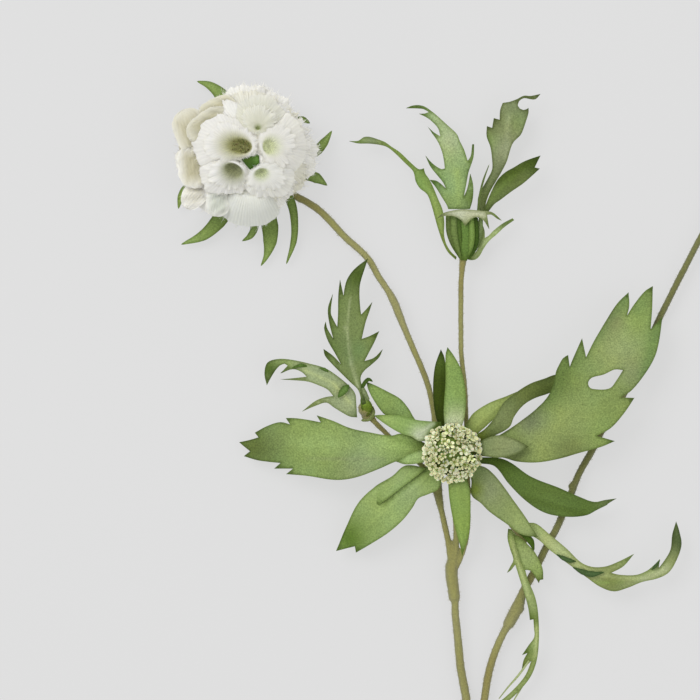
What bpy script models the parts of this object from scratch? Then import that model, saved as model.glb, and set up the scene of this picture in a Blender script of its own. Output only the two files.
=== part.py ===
"""Scabiosa flowering spray, cut and lying down.

One branched stem carries a white bloom, a green seed head in a whorl of cut leaves, and three
leafy shoots. Drawing numbers are millimetres seen from above: x to the right, y up the stem and z up
from the surface that the spray lies on.
"""
import math
import random

import bpy
import bmesh
from mathutils import Vector
from mathutils.geometry import delaunay_2d_cdt

# Driving dimensions
MM = 0.001
ORIGIN = Vector((44.2, -103.0, 0.0))
BLADE = 0.8
PETAL = 0.7
MESH_STEP = 7.0
STEM_SIDES = 7
STEM_STEP = 9.0
FOOT_Y = -303.0
GAP = 0.35

HEAD = Vector((36.5, -37.0, 0.0))
HEAD_NECK_RADIUS = 6.3
HEAD_NECK_TOP = 18.6
DOME_RADIUS = 8.5
DOME_BASE = 18.95
DOME_HEIGHT = 4.6
FLORETS = 62

BLOOM = Vector((-36.5, 69.0, 0.0))
CALYX = Vector((-34.5, 66.5, 0.0))
CALYX_TOP = 7.0
BLOOM_RADIUS = 25.0
PETAL_TWIST = 1.5

# Colours
LEAF_GREEN = (0.16, 0.27, 0.07)
DARK_GREEN = (0.05, 0.12, 0.02)
PALE_GREEN = (0.27, 0.36, 0.15)
GREY_GREEN = (0.22, 0.27, 0.13)
STEM_OLIVE = (0.25, 0.23, 0.07)
PETAL_WHITE = (0.82, 0.81, 0.74)
FLORET_CREAM = (0.62, 0.66, 0.36)


# Small helpers

def clear_scene():
    for obj in list(bpy.data.objects):
        bpy.data.objects.remove(obj, do_unlink=True)


def material(name, colour, roughness=0.8):
    mat = bpy.data.materials.new(name)
    mat.use_nodes = True
    shader = mat.node_tree.nodes["Principled BSDF"]
    shader.inputs["Base Color"].default_value = (*colour, 1.0)
    shader.inputs["Roughness"].default_value = roughness
    shader.inputs["Metallic"].default_value = 0.0
    mat.diffuse_color = (*colour, 1.0)
    return mat


def place(name, verts, faces, colour, roughness=0.8):
    """Make one object from drawing millimetres, in metres round the spray's own origin."""
    mesh = bpy.data.meshes.new(name)
    mesh.from_pydata([tuple((Vector(v) - ORIGIN) * MM) for v in verts], [], faces)
    bm = bmesh.new()
    bm.from_mesh(mesh)
    bmesh.ops.recalc_face_normals(bm, faces=bm.faces)
    bm.to_mesh(mesh)
    bm.free()
    mesh.shade_smooth()
    mesh.set_sharp_from_angle(angle=math.radians(40))
    obj = bpy.data.objects.new(name, mesh)
    obj.data.materials.append(material(name + "_colour", colour, roughness))
    bpy.context.scene.collection.objects.link(obj)
    return obj


def keep_largest(bm):
    """Fill pockets that the joined pieces seal, and drop loose scraps."""
    unseen = set(bm.verts)
    islands = []
    while unseen:
        queue = [unseen.pop()]
        island = []
        while queue:
            vert = queue.pop()
            island.append(vert)
            for edge in vert.link_edges:
                other = edge.other_vert(vert)
                if other in unseen:
                    unseen.remove(other)
                    queue.append(other)
        islands.append(island)
    islands.sort(key=len)
    for island in islands[:-1]:
        bmesh.ops.delete(bm, geom=island, context="VERTS")


def fuse(name, solids, colour, roughness=0.8, solver="EXACT"):
    """Join overlapping solids, each a pair of vertices and faces, into one body."""
    base = place(name, *solids[0], colour, roughness)
    if len(solids) == 1:
        return base
    group = bpy.data.collections.new(name + "_parts")
    bpy.context.scene.collection.children.link(group)
    for number, (verts, faces) in enumerate(solids[1:]):
        piece = place(f"{name}_{number}", verts, faces, colour, roughness)
        bpy.context.scene.collection.objects.unlink(piece)
        group.objects.link(piece)
    join = base.modifiers.new("join", "BOOLEAN")
    join.operation = "UNION"
    join.operand_type = "COLLECTION"
    join.collection = group
    join.solver = solver
    bpy.context.view_layer.update()
    graph = bpy.context.evaluated_depsgraph_get()
    mesh = bpy.data.meshes.new_from_object(base.evaluated_get(graph))
    base.modifiers.clear()
    base.data = mesh
    for piece in list(group.objects):
        bpy.data.objects.remove(piece, do_unlink=True)
    bpy.data.collections.remove(group)
    bm = bmesh.new()
    bm.from_mesh(mesh)
    keep_largest(bm)
    bmesh.ops.triangulate(bm, faces=bm.faces)
    bm.to_mesh(mesh)
    bm.free()
    return base


# Curves

def smooth_path(points, step):
    """Catmull-Rom curve through the points, with the last numbers of each (radii) in straight lines."""
    pts = [tuple(p) for p in points]
    out = []
    for i in range(len(pts) - 1):
        p0 = Vector(pts[max(i - 1, 0)][:3])
        p1 = Vector(pts[i][:3])
        p2 = Vector(pts[i + 1][:3])
        p3 = Vector(pts[min(i + 2, len(pts) - 1)][:3])
        span = (p2 - p1).length
        count = max(1, round(span / step))
        tangent_1 = (p2 - p0) * (span / max((p2 - p0).length, 1e-6))
        tangent_2 = (p3 - p1) * (span / max((p3 - p1).length, 1e-6))
        for k in range(count):
            t = k / count
            h1 = 2 * t ** 3 - 3 * t ** 2 + 1
            h2 = t ** 3 - 2 * t ** 2 + t
            h3 = -2 * t ** 3 + 3 * t ** 2
            h4 = t ** 3 - t ** 2
            place_at = p1 * h1 + tangent_1 * h2 + p2 * h3 + tangent_2 * h4
            rest = [a + (b - a) * t for a, b in zip(pts[i][3:], pts[i + 1][3:])]
            out.append((place_at, rest))
    out.append((Vector(pts[-1][:3]), list(pts[-1][3:])))
    return out


def tube(points, sides=STEM_SIDES, step=STEM_STEP):
    """Round tube along a smooth path of (x, y, z, radius)."""
    path = smooth_path(points, step)
    centres = [p for p, _ in path]
    verts = []
    faces = []
    up = Vector((0, 0, 1))
    for i, (centre, rest) in enumerate(path):
        ahead = centres[min(i + 1, len(centres) - 1)] - centres[max(i - 1, 0)]
        ahead.normalize()
        up = (up - ahead * up.dot(ahead)).normalized()
        side = ahead.cross(up)
        for k in range(sides):
            angle = 2 * math.pi * k / sides
            verts.append(centre - (up * math.cos(angle) + side * math.sin(angle)) * rest[0])
    rings = len(path)
    for i in range(rings - 1):
        for k in range(sides):
            a = i * sides + k
            b = i * sides + (k + 1) % sides
            faces.append((a, b, b + sides, a + sides))
    faces.append(tuple(reversed(range(sides))))
    faces.append(tuple(range((rings - 1) * sides, rings * sides)))
    return verts, faces


def turned(centre, profile, sides=12):
    """Solid turned round a vertical axis from (radius, height) pairs, bottom to top."""
    verts = []
    faces = []
    for radius, height in profile:
        for k in range(sides):
            angle = 2 * math.pi * k / sides
            spot = Vector((math.cos(angle), math.sin(angle), 0)) * radius
            verts.append(Vector((centre[0], centre[1], 0)) + spot + Vector((0, 0, height)))
    for i in range(len(profile) - 1):
        for k in range(sides):
            a = i * sides + k
            b = i * sides + (k + 1) % sides
            faces.append((a, b, b + sides, a + sides))
    faces.append(tuple(reversed(range(sides))))
    faces.append(tuple(range((len(profile) - 1) * sides, len(profile) * sides)))
    return verts, faces


def lump(centre, radii, sides=10, rows=5):
    """Egg shape with three radii."""
    verts = [Vector(centre) - Vector((0, 0, radii[2]))]
    for j in range(1, rows):
        tilt = math.pi * j / rows
        for k in range(sides):
            angle = 2 * math.pi * k / sides
            verts.append(Vector(centre) + Vector((radii[0] * math.sin(tilt) * math.cos(angle),
                                                  radii[1] * math.sin(tilt) * math.sin(angle),
                                                  -radii[2] * math.cos(tilt))))
    verts.append(Vector(centre) + Vector((0, 0, radii[2])))
    faces = []
    top = len(verts) - 1
    for k in range(sides):
        n = (k + 1) % sides
        faces.append((0, 1 + n, 1 + k))
        faces.append((top, top - sides + k, top - sides + n))
        for j in range(rows - 2):
            a = 1 + j * sides
            faces.append((a + k, a + n, a + n + sides, a + k + sides))
    return verts, faces


# Thin blades

def thicken(points, triangles, thickness):
    """Give a sheet of triangles a thickness, with the same triangles on both faces."""
    normals = [Vector((0, 0, 0)) for _ in points]
    edges = {}
    for tri in triangles:
        a, b, c = (points[i] for i in tri)
        normal = (b - a).cross(c - a)
        for i in tri:
            normals[i] += normal
        for k in range(3):
            edge = (tri[k], tri[(k + 1) % 3])
            edges[edge] = True
    half = thickness / 2
    verts = []
    for point, normal in zip(points, normals):
        verts.append(point + normal.normalized() * half)
    for point, normal in zip(points, normals):
        verts.append(point - normal.normalized() * half)
    count = len(points)
    faces = [tuple(tri) for tri in triangles]
    faces += [(c + count, b + count, a + count) for a, b, c in triangles]
    for a, b in edges:
        if (b, a) not in edges:
            faces.append((b, a, a + count))
            faces.append((b, a + count, b + count))
    return verts, faces


def inside(point, outline):
    x, y = point
    hit = False
    j = len(outline) - 1
    for i, (xi, yi) in enumerate(outline):
        xj, yj = outline[j]
        if (yi > y) != (yj > y) and x < (xj - xi) * (y - yi) / (yj - yi) + xi:
            hit = not hit
        j = i
    return hit


def edge_distance(point, outline):
    best = 1e9
    for i, start in enumerate(outline):
        a = Vector(start)
        b = Vector(outline[(i + 1) % len(outline)])
        t = max(0.0, min(1.0, (Vector(point) - a).dot(b - a) / max((b - a).length_squared, 1e-9)))
        best = min(best, (a + (b - a) * t - Vector(point)).length)
    return best


def cut_edges(outline, step):
    """Split the long sides of an outline."""
    out = []
    for i, start in enumerate(outline):
        a = Vector(start)
        b = Vector(outline[(i + 1) % len(outline)])
        count = max(1, int((b - a).length / step + 0.5))
        out += [tuple(a + (b - a) * (k / count)) for k in range(count)]
    return out


def rib_place(x, y, rib):
    """Height along the midrib next to a point, and the distance to its left side."""
    best = None
    run = 0.0
    for i in range(len(rib) - 1):
        a = Vector(rib[i][:2])
        b = Vector(rib[i + 1][:2])
        span = b - a
        t = (Vector((x, y)) - a).dot(span) / max(span.length_squared, 1e-9)
        t = max(0.0, min(1.0, t))
        off = Vector((x, y)) - (a + span * t)
        if best is None or off.length < best[0]:
            height = rib[i][2] + (rib[i + 1][2] - rib[i][2]) * t
            left = span.x * off.y - span.y * off.x
            best = (off.length, height, math.copysign(off.length, left), run + span.length * t)
        run += span.length
    return best[1], best[2], best[3]


def blade(outline, rib, cup=0.0, tilt=0.0, wave=0.0, wave_length=18.0, thickness=BLADE, step=MESH_STEP,
          holes=()):
    """Leaf blade seen from above: a cut outline, laid over a midrib of (x, y, z).

    cup lifts (or drops) the sides, tilt rolls the blade to one side, wave ripples its edges.
    """
    fine_rib = [tuple(p) for p, _ in smooth_path(rib, 4.0)]
    edge = cut_edges(outline, step)
    rims = [cut_edges(hole, step) for hole in holes]
    spots = [Vector(p) for p in edge]
    links = [(i, (i + 1) % len(edge)) for i in range(len(edge))]
    for rim in rims:
        first = len(spots)
        spots += [Vector(p) for p in rim]
        links += [(first + i, first + (i + 1) % len(rim)) for i in range(len(rim))]
    extra = []
    for p in fine_rib[1:-1]:
        extra.append(((p[0], p[1]), 1.0))
    low = Vector((min(p[0] for p in edge), min(p[1] for p in edge)))
    high = Vector((max(p[0] for p in edge), max(p[1] for p in edge)))
    row = 0
    y = low.y + step / 2
    while y < high.y:
        x = low.x + step * (0.5 if row % 2 else 1.0)
        while x < high.x:
            extra.append(((x, y), step * 0.42))
            x += step
        y += step * 0.87
        row += 1
    chosen = []
    for p, clear in extra:
        if not inside(p, edge) or edge_distance(p, edge) < clear:
            continue
        if any(inside(p, rim) or edge_distance(p, rim) < clear for rim in rims):
            continue
        if any((Vector(p) - q).length < step * 0.55 for q in chosen):
            continue
        chosen.append(Vector(p))
    spots += chosen
    flat, _, tris, _, _, _ = delaunay_2d_cdt(spots, links, [], 1, 0.001)
    points = []
    for spot in flat:
        height, side, run = rib_place(spot.x, spot.y, fine_rib)
        ripple = wave * math.sin(2 * math.pi * run / wave_length) * min(1.0, abs(side) / 6.0)
        height += cup * side * side + tilt * side + math.copysign(ripple, side)
        points.append(Vector((spot.x, spot.y, height)))
    keep = []
    for tri in tris:
        middle = (flat[tri[0]] + flat[tri[1]] + flat[tri[2]]) / 3
        if any(inside(middle, rim) for rim in rims):
            continue
        a, b, c = (flat[i] for i in tri)
        area = (b.x - a.x) * (c.y - a.y) - (b.y - a.y) * (c.x - a.x)
        if abs(area) < 0.001:
            continue
        keep.append(tuple(tri) if area > 0 else (tri[0], tri[2], tri[1]))
    return thicken(points, keep, thickness)


def strap(path, thickness=BLADE, step=MESH_STEP, cup=0.0, tilt=0.0):
    """Narrow blade that follows (x, y, z, half width)."""
    line = smooth_path(path, step * 0.75)
    left = []
    right = []
    for i, (p, rest) in enumerate(line):
        ahead = line[min(i + 1, len(line) - 1)][0] - line[max(i - 1, 0)][0]
        side = Vector((-ahead.y, ahead.x)).normalized() * rest[0]
        left.append((p.x + side.x, p.y + side.y))
        right.append((p.x - side.x, p.y - side.y))
    tip = [left.pop()] if path[-1][3] < 0.45 else [left.pop(), right[-1]]
    if path[-1][3] < 0.45:
        tip = [(line[-1][0].x, line[-1][0].y)]
    right.pop()
    outline = left + tip + list(reversed(right))
    return blade(outline, [p[:3] for p in path], cup=cup, tilt=tilt, thickness=thickness, step=step)


# Stem

# Each station is x, y, z and radius
MAIN_STEM = [(46, FOOT_Y, 2.1, 2.1), (46.6, -262, 2.2, 2.1), (46.2, -222, 2.35, 2.05),
             (45.6, -180, 2.5, 2.0), (45.2, -163, 2.7, 2.0), (45.1, -160, 2.8, 2.5), (45, -149, 2.9, 2.3),
             (44.4, -145, 3.0, 1.65), (41.8, -125, 3.4, 1.6), (40, -115, 3.6, 1.55), (39, -105, 3.9, 1.5),
             (38, -95, 4.2, 1.4), (37.9, -91, 4.3, 1.35), (37.7, -89.6, 4.3, 2.1), (36.6, -78, 4.6, 2.35),
             (38.3, -73.5, 4.8, 1.2)]
BLOOM_STEM = [(36.9, -80, 4.6, 1.5), (35.6, -70, 4.7, 1.15), (33, -58, 4.8, 1.1), (31.4, -50, 4.9, 1.9),
              (31, -46.5, 4.9, 2.0), (30.7, -41, 5.0, 1.2), (30.5, -25, 5.2, 1.1), (28.5, -14, 5.3, 1.1),
              (26, -7, 5.3, 1.15), (23, 0, 5.3, 1.15), (20, 7, 5.2, 1.2), (17.6, 13, 5.2, 1.5),
              (15.6, 18, 5.1, 1.5), (13.6, 21.5, 5.0, 1.2), (10, 27, 4.9, 1.25), (6.5, 33, 4.7, 1.25),
              (-2, 41, 4.3, 1.3), (-9, 48.5, 3.8, 1.35), (-14, 52.5, 3.5, 1.35), (-20, 55.8, 3.2, 1.35),
              (-25, 59.4, 3.2, 1.35), (-29.9, 63.2, 3.3, 1.3)]
UPPER_STEM = [(37.4, -79.5, 4.6, 1.3), (40.3, -74, 4.8, 0.95), (42, -68, 4.9, 0.95), (42.7, -60, 5.0, 0.9),
              (42.4, -42, 5.0, 0.9), (41.8, -22, 5.0, 0.95), (41.3, -12, 5.0, 0.95), (40.2, -2, 5.0, 0.95),
              (40, 10, 5.1, 0.95), (40, 20, 5.4, 1.0), (40.2, 27, 5.9, 1.0), (40.6, 31.5, 6.2, 1.25),
              (40.8, 33.1, 6.4, 1.6)]
HEAD_STALK = [(38.0, -77, 4.6, 1.3), (38.3, -66, 5.6, 1.1), (37.8, -56, 6.2, 1.1), (36.9, -47, 6.4, 1.2),
              (36.5, -41, 7.2, 1.5), (36.5, -38, 9.5, 2.0), (36.5, -37, 13.0, 2.4)]
LEFT_SHOOT_STEM = [(31, -46, 4.9, 1.2), (24, -40, 5.0, 0.9), (18, -35, 5.2, 0.9), (13, -30, 5.4, 0.9),
                   (9, -26, 5.9, 1.0), (6, -22.5, 6.6, 1.4)]
RIGHT_STEM = [(45.1, -153, 2.8, 1.5), (45.9, -145, 3.0, 1.5), (48.7, -125, 3.3, 1.45), (50, -117, 3.4, 1.45),
              (52, -110, 3.5, 1.4), (54.5, -104, 3.6, 1.4), (56.4, -100.4, 3.7, 1.4), (57.2, -99, 3.7, 2.1),
              (60.6, -92.6, 3.8, 2.3), (62, -88.5, 3.8, 1.6), (62.6, -87, 3.8, 1.5), (66, -81, 3.9, 1.4),
              (69, -75, 3.9, 1.4), (71.5, -70, 3.9, 1.4), (75, -63.5, 3.9, 1.35), (79, -54, 3.9, 1.35),
              (82.5, -45, 4.0, 1.3), (87, -37, 4.0, 1.3), (91, -29, 4.0, 1.3), (98.5, -16.5, 4.0, 1.25),
              (112, 12, 4.0, 1.2), (119.5, 27, 4.0, 1.2), (126, 39.6, 4.0, 1.15), (133.5, 54, 4.0, 1.1),
              (139.0, 65.7, 4.2, 1.2)]
RIGHT_NUB = [(60.8, -93, 3.8, 1.6), (62.6, -94.2, 3.9, 0.9)]
SWELLING = [(81, -48.6, 4.0, 1.6), (78.9, -49.6, 4.1, 0.8)]
LOWER_SHOOT_STEM = [(38, -58, 6.0, 1.0), (41, -52.5, 6.2, 0.9), (44.2, -50.6, 6.3, 0.9), (50, -54.5, 6.5, 0.9),
                    (56, -60.5, 6.6, 0.9), (61, -66.6, 6.7, 1.1)]
BLOOM_STEM_NUB = [(16.4, 15.6, 5.1, 1.3), (17.3, 16.7, 5.3, 0.8)]


def make_stem():
    neck = turned(HEAD, [(2.6, 11.0), (5.2, 11.9), (HEAD_NECK_RADIUS, 12.7),
                         (HEAD_NECK_RADIUS, HEAD_NECK_TOP)], sides=16)
    fuse("branching_stem",
         [tube(MAIN_STEM), tube(BLOOM_STEM), tube(UPPER_STEM, 7), tube(HEAD_STALK, 8, 4.0), neck,
          tube(LEFT_SHOOT_STEM, 7), tube(RIGHT_STEM), tube(RIGHT_NUB, 6), tube(SWELLING, 6),
          tube(LOWER_SHOOT_STEM, 7), tube(BLOOM_STEM_NUB, 6), lump((5.6, -21.2, 7.0), (2.7, 2.8, 2.6)),
          lump((6.6, -23.9, 6.2), (2.6, 1.5, 1.6), 8, 4), lump((62.2, -67.6, 6.9), (2.3, 2.3, 1.9), 8, 4)],
         STEM_OLIVE)


# Leaves of the head

LEFT_LEAF = [(29.85, -35.4), (26, -33), (22, -31), (18, -30), (15, -30.7), (8, -29.8), (0, -28), (-6, -25.5),
             (-12, -23.5), (-10.5, -26), (-16, -25), (-20, -24.5), (-23, -24.5), (-21.5, -26.8), (-25, -26),
             (-30, -27.5), (-34.3, -29.8), (-33, -31.5), (-36, -32.4), (-40, -33.3), (-36, -36.5),
             (-38.3, -38.3), (-33, -39.8), (-25, -40.7), (-27.3, -42.7), (-20.5, -42.7), (-23, -44.7),
             (-15, -45.3), (-5, -46.7), (2, -45.8), (10, -42.8), (16, -40.2), (21, -38.8), (26, -38.6),
             (29.85, -38.3)]
LEFT_LEAF_RIB = [(29.6, -36.8, 13.4), (18, -35.5, 14.6), (2, -35.5, 14), (-14, -34.8, 11.5), (-27, -34.5, 8),
                 (-39, -34.5, 4)]
LOW_LEFT_LEAF = [(30.25, -39.9), (27, -42.2), (20, -41.5), (15, -45.5), (8, -50), (3, -55), (-1, -63),
                 (-5, -72.5), (1.8, -70.7), (2.2, -73), (8, -69.5), (14, -65.5), (19, -61), (22.5, -56.5),
                 (24.5, -53.3), (28, -51.8), (32, -49.5), (32.95, -43.1)]
LOW_LEFT_RIB = [(31.2, -41.8, 13.4), (26, -47, 14.2), (17, -54, 13.5), (8, -62, 11), (-1, -70, 6)]
SMALL_LEFT = [(29.85, -36.6), (26, -35.8), (21, -37.4), (16.5, -40), (20, -41), (26, -40.3), (29.9, -39.2)]
SMALL_LEFT_RIB = [(29.7, -38, 17.3), (23, -38.6, 17.6), (16.5, -40, 16.2)]
UPPER_LEFT_LEAF = [(30.55, -33.95), (25.5, -30), (20, -26.8), (14, -23.9), (12, -22.8), (8.5, -18), (6.5, -14),
                   (6, -11.5), (9, -12.7), (14, -15.2), (18, -17.5), (21, -21), (23.7, -25.3), (28, -28.6),
                   (31.85, -31.75)]
UPPER_LEFT_RIB = [(31, -32.7, 13.4), (24, -27.5, 13.9), (16, -20.5, 13), (6, -11.5, 10)]
FOLDED_LEAF = [(30.55, -33.7), (27, -32.6), (24.5, -32.5), (22, -31), (18.5, -30), (13, -26.8), (8.5, -23.5),
               (12, -23.3), (18, -23.5), (23.5, -25), (27.8, -25.5), (32.6, -25.8), (32.85, -31)]
FOLDED_RIB = [(31.4, -32.2, 17.3), (26, -29, 18.2), (18, -26.5, 17), (8.5, -23.5, 13.2)]
TOP_DARK = [(33.4, -30.6), (31.8, -27), (30.4, -22), (29.8, -14), (30.5, -6), (32.7, 0.2), (34, -3),
            (34.8, -12), (35.8, -22), (36.3, -30.25)]
TOP_DARK_RIB = [(34.9, -30.2, 13.4), (33.2, -20, 14.6), (32.4, -10, 13.4), (32.7, 0.2, 10.5)]
TOP_LIGHT = [(34.8, -30.3), (33.8, -25.5), (33.6, -20), (34.2, -12), (34.3, -2), (35, 1), (37.5, -2.5),
             (39.8, -7), (41, -12), (41.5, -18), (41, -24), (40, -27.4), (38.8, -30.4)]
TOP_LIGHT_RIB = [(36.8, -30.2, 17.3), (37.3, -20, 18.4), (37, -10, 17.6), (35, 1, 14.6)]
UPPER_RIGHT_LEAF = [(40.15, -31.35), (40.8, -28.6), (42, -26), (44.5, -22.5), (50, -19), (56, -16.7),
                    (62.5, -14), (60, -18), (56, -21.5), (52, -24.5), (47, -29), (42.15, -33.15)]
UPPER_RIGHT_RIB = [(41.4, -32, 13.4), (47, -25.5, 14.2), (54, -20, 13.2), (62.5, -14, 9.5)]
ARCHED_STRAP = [(41.2, -32.2), (44, -30.8), (48, -28.6), (52, -24), (55, -19), (60, -15), (65, -12),
                (70, -10.3), (74.5, -8.8), (80, -9.5), (76.5, -13.2), (71.5, -15.6), (66, -17.5), (62, -20),
                (58.8, -24), (57.2, -27.6), (52, -30.6), (47, -32.6), (42.8, -34.3)]
ARCHED_RIB = [(42, -33.2, 15.9), (50, -29, 16.7), (56.2, -23, 16.2), (63, -16.5, 13), (71, -13, 9),
              (80, -9.8, 5.6)]
BIG_LEAF = [(43.15, -35.2), (47, -33.6), (52, -31.4), (57.3, -28.3), (62, -25), (67, -21), (71, -16.5),
            (73, -12), (74, -7.5), (75, -5.5), (76.5, -3), (78.3, -1.8), (78.9, -6), (80.3, -2.5),
            (83.3, 4.2), (84.7, -2.6), (88, 4), (92, 10.5), (96, 16.5), (100.3, 20.8), (100.5, 16),
            (99.6, 12.3), (102, 16), (106, 21), (109, 23), (108.7, 15), (108, 7.5), (110.2, 9.6),
            (112.3, 12), (111, 3), (109.5, -2.5), (106, -8.5), (101, -14.5), (97, -17), (102, -17.2),
            (98, -23), (93.5, -28), (88.5, -30.8), (95, -32.7), (90, -34.8), (82, -37), (75, -39),
            (67, -40.3), (60, -40), (55, -38.6), (49, -38), (43.15, -37.6)]
BIG_LEAF_HOLE = [(85.5, -11.4), (86.8, -9.9), (91, -8.8), (95, -7), (98, -7.2), (95.5, -11), (93, -13.8),
                 (87, -14), (85.7, -13.1)]
BIG_LEAF_RIB = [(43.6, -36.4, 13.4), (56, -34.5, 14.8), (70, -30, 16), (82, -20, 16.4), (92, -8, 15.5),
                (101, 6, 13), (108, 21, 8.5)]
SMALL_RIGHT = [(43.15, -34.9), (45, -34), (48, -32), (53, -30.5), (58, -31.5), (64, -34.5), (60, -37),
               (54, -38.5), (49, -38.2), (43.2, -37.4)]
SMALL_RIGHT_RIB = [(43.5, -35.9, 17.6), (53, -34.6, 19.6), (64, -34.5, 19)]
DARK_STRAP = [(43.1, -38.05), (47, -38.5), (54, -38.9), (58, -40.6), (65, -45.5), (75, -49.5), (83, -53),
              (88, -54.7), (92, -54), (96, -53.5), (93, -55.3), (92.5, -55.8), (89, -57.5), (85, -59.5),
              (78, -60), (70, -58.5), (63, -54), (57, -48), (52, -41.8), (47, -40.8), (42.4, -40.35)]
DARK_STRAP_RIB = [(43, -39.3, 13.0), (53, -40.2, 12.2), (60, -46, 12.4), (70, -53, 11.6), (82, -56.5, 10),
                  (96, -53.6, 7.5)]
LOW_RIGHT_LEAF = [(42.05, -40.7), (46, -41.4), (49, -42.4), (53, -46.2), (58, -53), (63, -60), (67.5, -67.2),
                  (63.5, -66.8), (60, -65.5), (57, -63), (50, -58), (47, -55), (43.6, -52), (43.4, -46),
                  (40.15, -43)]
LOW_RIGHT_RIB = [(41.4, -42.2, 13.4), (47.5, -48, 14), (55, -56.5, 13.4), (67.5, -67.2, 11.6)]
BOTTOM_LEAF = [(35, -43.7), (35.5, -52), (37, -61), (39.5, -70), (40.3, -74.3), (42.7, -66), (43.2, -57),
               (42.8, -50), (41.5, -46), (39, -43.55)]
BOTTOM_RIB = [(37, -43.9, 17.3), (39, -52, 17.6), (39.8, -62, 15.2), (40.3, -74.3, 10)]


def make_head_leaves():
    place("head_leaf_left", *blade(LEFT_LEAF, LEFT_LEAF_RIB, cup=-0.006, wave=0.9), LEAF_GREEN)
    place("head_leaf_low_left", *blade(LOW_LEFT_LEAF, LOW_LEFT_RIB, cup=-0.012, wave=0.5), GREY_GREEN)
    place("head_bract_left", *blade(SMALL_LEFT, SMALL_LEFT_RIB), LEAF_GREEN)
    place("head_leaf_upper_left", *blade(UPPER_LEFT_LEAF, UPPER_LEFT_RIB, cup=0.012), LEAF_GREEN)
    place("head_leaf_folded", *blade(FOLDED_LEAF, FOLDED_RIB, cup=-0.03), PALE_GREEN)
    place("head_leaf_top_dark", *blade(TOP_DARK, TOP_DARK_RIB, cup=0.02), DARK_GREEN)
    place("head_leaf_top_light", *blade(TOP_LIGHT, TOP_LIGHT_RIB, cup=-0.02), LEAF_GREEN)
    place("head_leaf_upper_right", *blade(UPPER_RIGHT_LEAF, UPPER_RIGHT_RIB, cup=-0.01), PALE_GREEN)
    place("head_leaf_arched", *blade(ARCHED_STRAP, ARCHED_RIB, tilt=0.1), GREY_GREEN)
    place("head_leaf_large", *blade(BIG_LEAF, BIG_LEAF_RIB, cup=-0.006, wave=1.0, wave_length=30,
                                    holes=[BIG_LEAF_HOLE]), LEAF_GREEN)
    place("head_bract_right", *blade(SMALL_RIGHT, SMALL_RIGHT_RIB, cup=-0.02), GREY_GREEN)
    place("head_leaf_dark", *blade(DARK_STRAP, DARK_STRAP_RIB, cup=0.012), DARK_GREEN)
    place("head_leaf_low_right", *blade(LOW_RIGHT_LEAF, LOW_RIGHT_RIB, cup=-0.01), GREY_GREEN)
    place("head_leaf_bottom", *blade(BOTTOM_LEAF, BOTTOM_RIB, cup=-0.03), PALE_GREEN)


# Green head

def dome_point(turn, out):
    """Point on the dome of the green head, out running from its crown (0) to its rim (1)."""
    bend = out * math.pi / 2
    flat = DOME_RADIUS * math.sin(bend)
    lift = DOME_HEIGHT * math.cos(bend) ** 1.2
    return Vector((HEAD.x + flat * math.cos(turn), HEAD.y + flat * math.sin(turn), DOME_BASE + 0.9 + lift))


def star_floret(root, heading, size, spin):
    """Four-pointed open floret on a short stalk that is sunk into the dome."""
    heading = heading.normalized()
    side = heading.cross(Vector((0.13, 0.21, 1))).normalized()
    if side.length < 0.5:
        side = Vector((1, 0, 0))
    across = heading.cross(side)
    verts = [root - heading * 1.1, root + heading * 1.0]
    for k in range(8):
        angle = spin + math.pi * k / 4
        reach = size if k % 2 == 0 else size * 0.55
        lift = 2.0 if k % 2 == 0 else 1.5
        verts.append(root + heading * lift + (side * math.cos(angle) + across * math.sin(angle)) * reach)
    faces = []
    for k in range(8):
        a = 2 + k
        b = 2 + (k + 1) % 8
        faces.append((0, b, a))
        faces.append((1, a, b))
    return verts, faces


def make_head_florets():
    rng = random.Random(7)
    profile = [(6.2, DOME_BASE), (8.0, DOME_BASE + 0.3), (DOME_RADIUS, DOME_BASE + 0.9)]
    for k in range(1, 5):
        p = dome_point(0, 1 - k / 5)
        profile.append((p.x - HEAD.x, p.z))
    solids = [turned(HEAD, profile, sides=20)]
    golden = math.pi * (3 - math.sqrt(5))
    for k in range(FLORETS):
        out = math.sqrt((k + 0.5) / FLORETS) ** 0.92
        turn = k * golden
        root = dome_point(turn, out)
        heading = Vector((math.cos(turn) * out ** 2 * 1.1, math.sin(turn) * out ** 2 * 1.1, 1.15 - out * 0.75))
        solids.append(star_floret(root, heading, 1.4 + 0.2 * rng.random(), rng.random() * 2))
    fuse("head_florets", solids, FLORET_CREAM)


# Bloom

def fan_petal(azimuth, spread, root, reach, z_root, z_rim, pleat, droop, cells=7, rows=3):
    """Pleated fan that widens from the core to a frayed rim, its left edge over its neighbour."""
    points = []
    for j in range(rows + 1):
        s = j / rows
        for i in range(cells + 1):
            t = -1 + 2 * i / cells
            fold = 1 if i % 2 else -1
            angle = azimuth + spread * t * (0.42 + 0.58 * math.sqrt(s))
            rim = reach * (1 - 0.10 * t ** 4 + 0.025 * fold)
            r = root + (rim - root) * s
            z = z_root + (z_rim - z_root) * s ** 0.8
            z += pleat * s * fold - droop * s * s * t * t + PETAL_TWIST * s * t
            points.append(Vector((BLOOM.x + r * math.cos(angle), BLOOM.y + r * math.sin(angle), z)))
    triangles = []
    for j in range(rows):
        for i in range(cells):
            a = j * (cells + 1) + i
            b = a + 1
            c = a + cells + 1
            d = c + 1
            triangles += [(a, c, b), (b, c, d)] if (i + j) % 2 else [(a, c, d), (a, d, b)]
    return thicken(points, triangles, PETAL)


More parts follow.
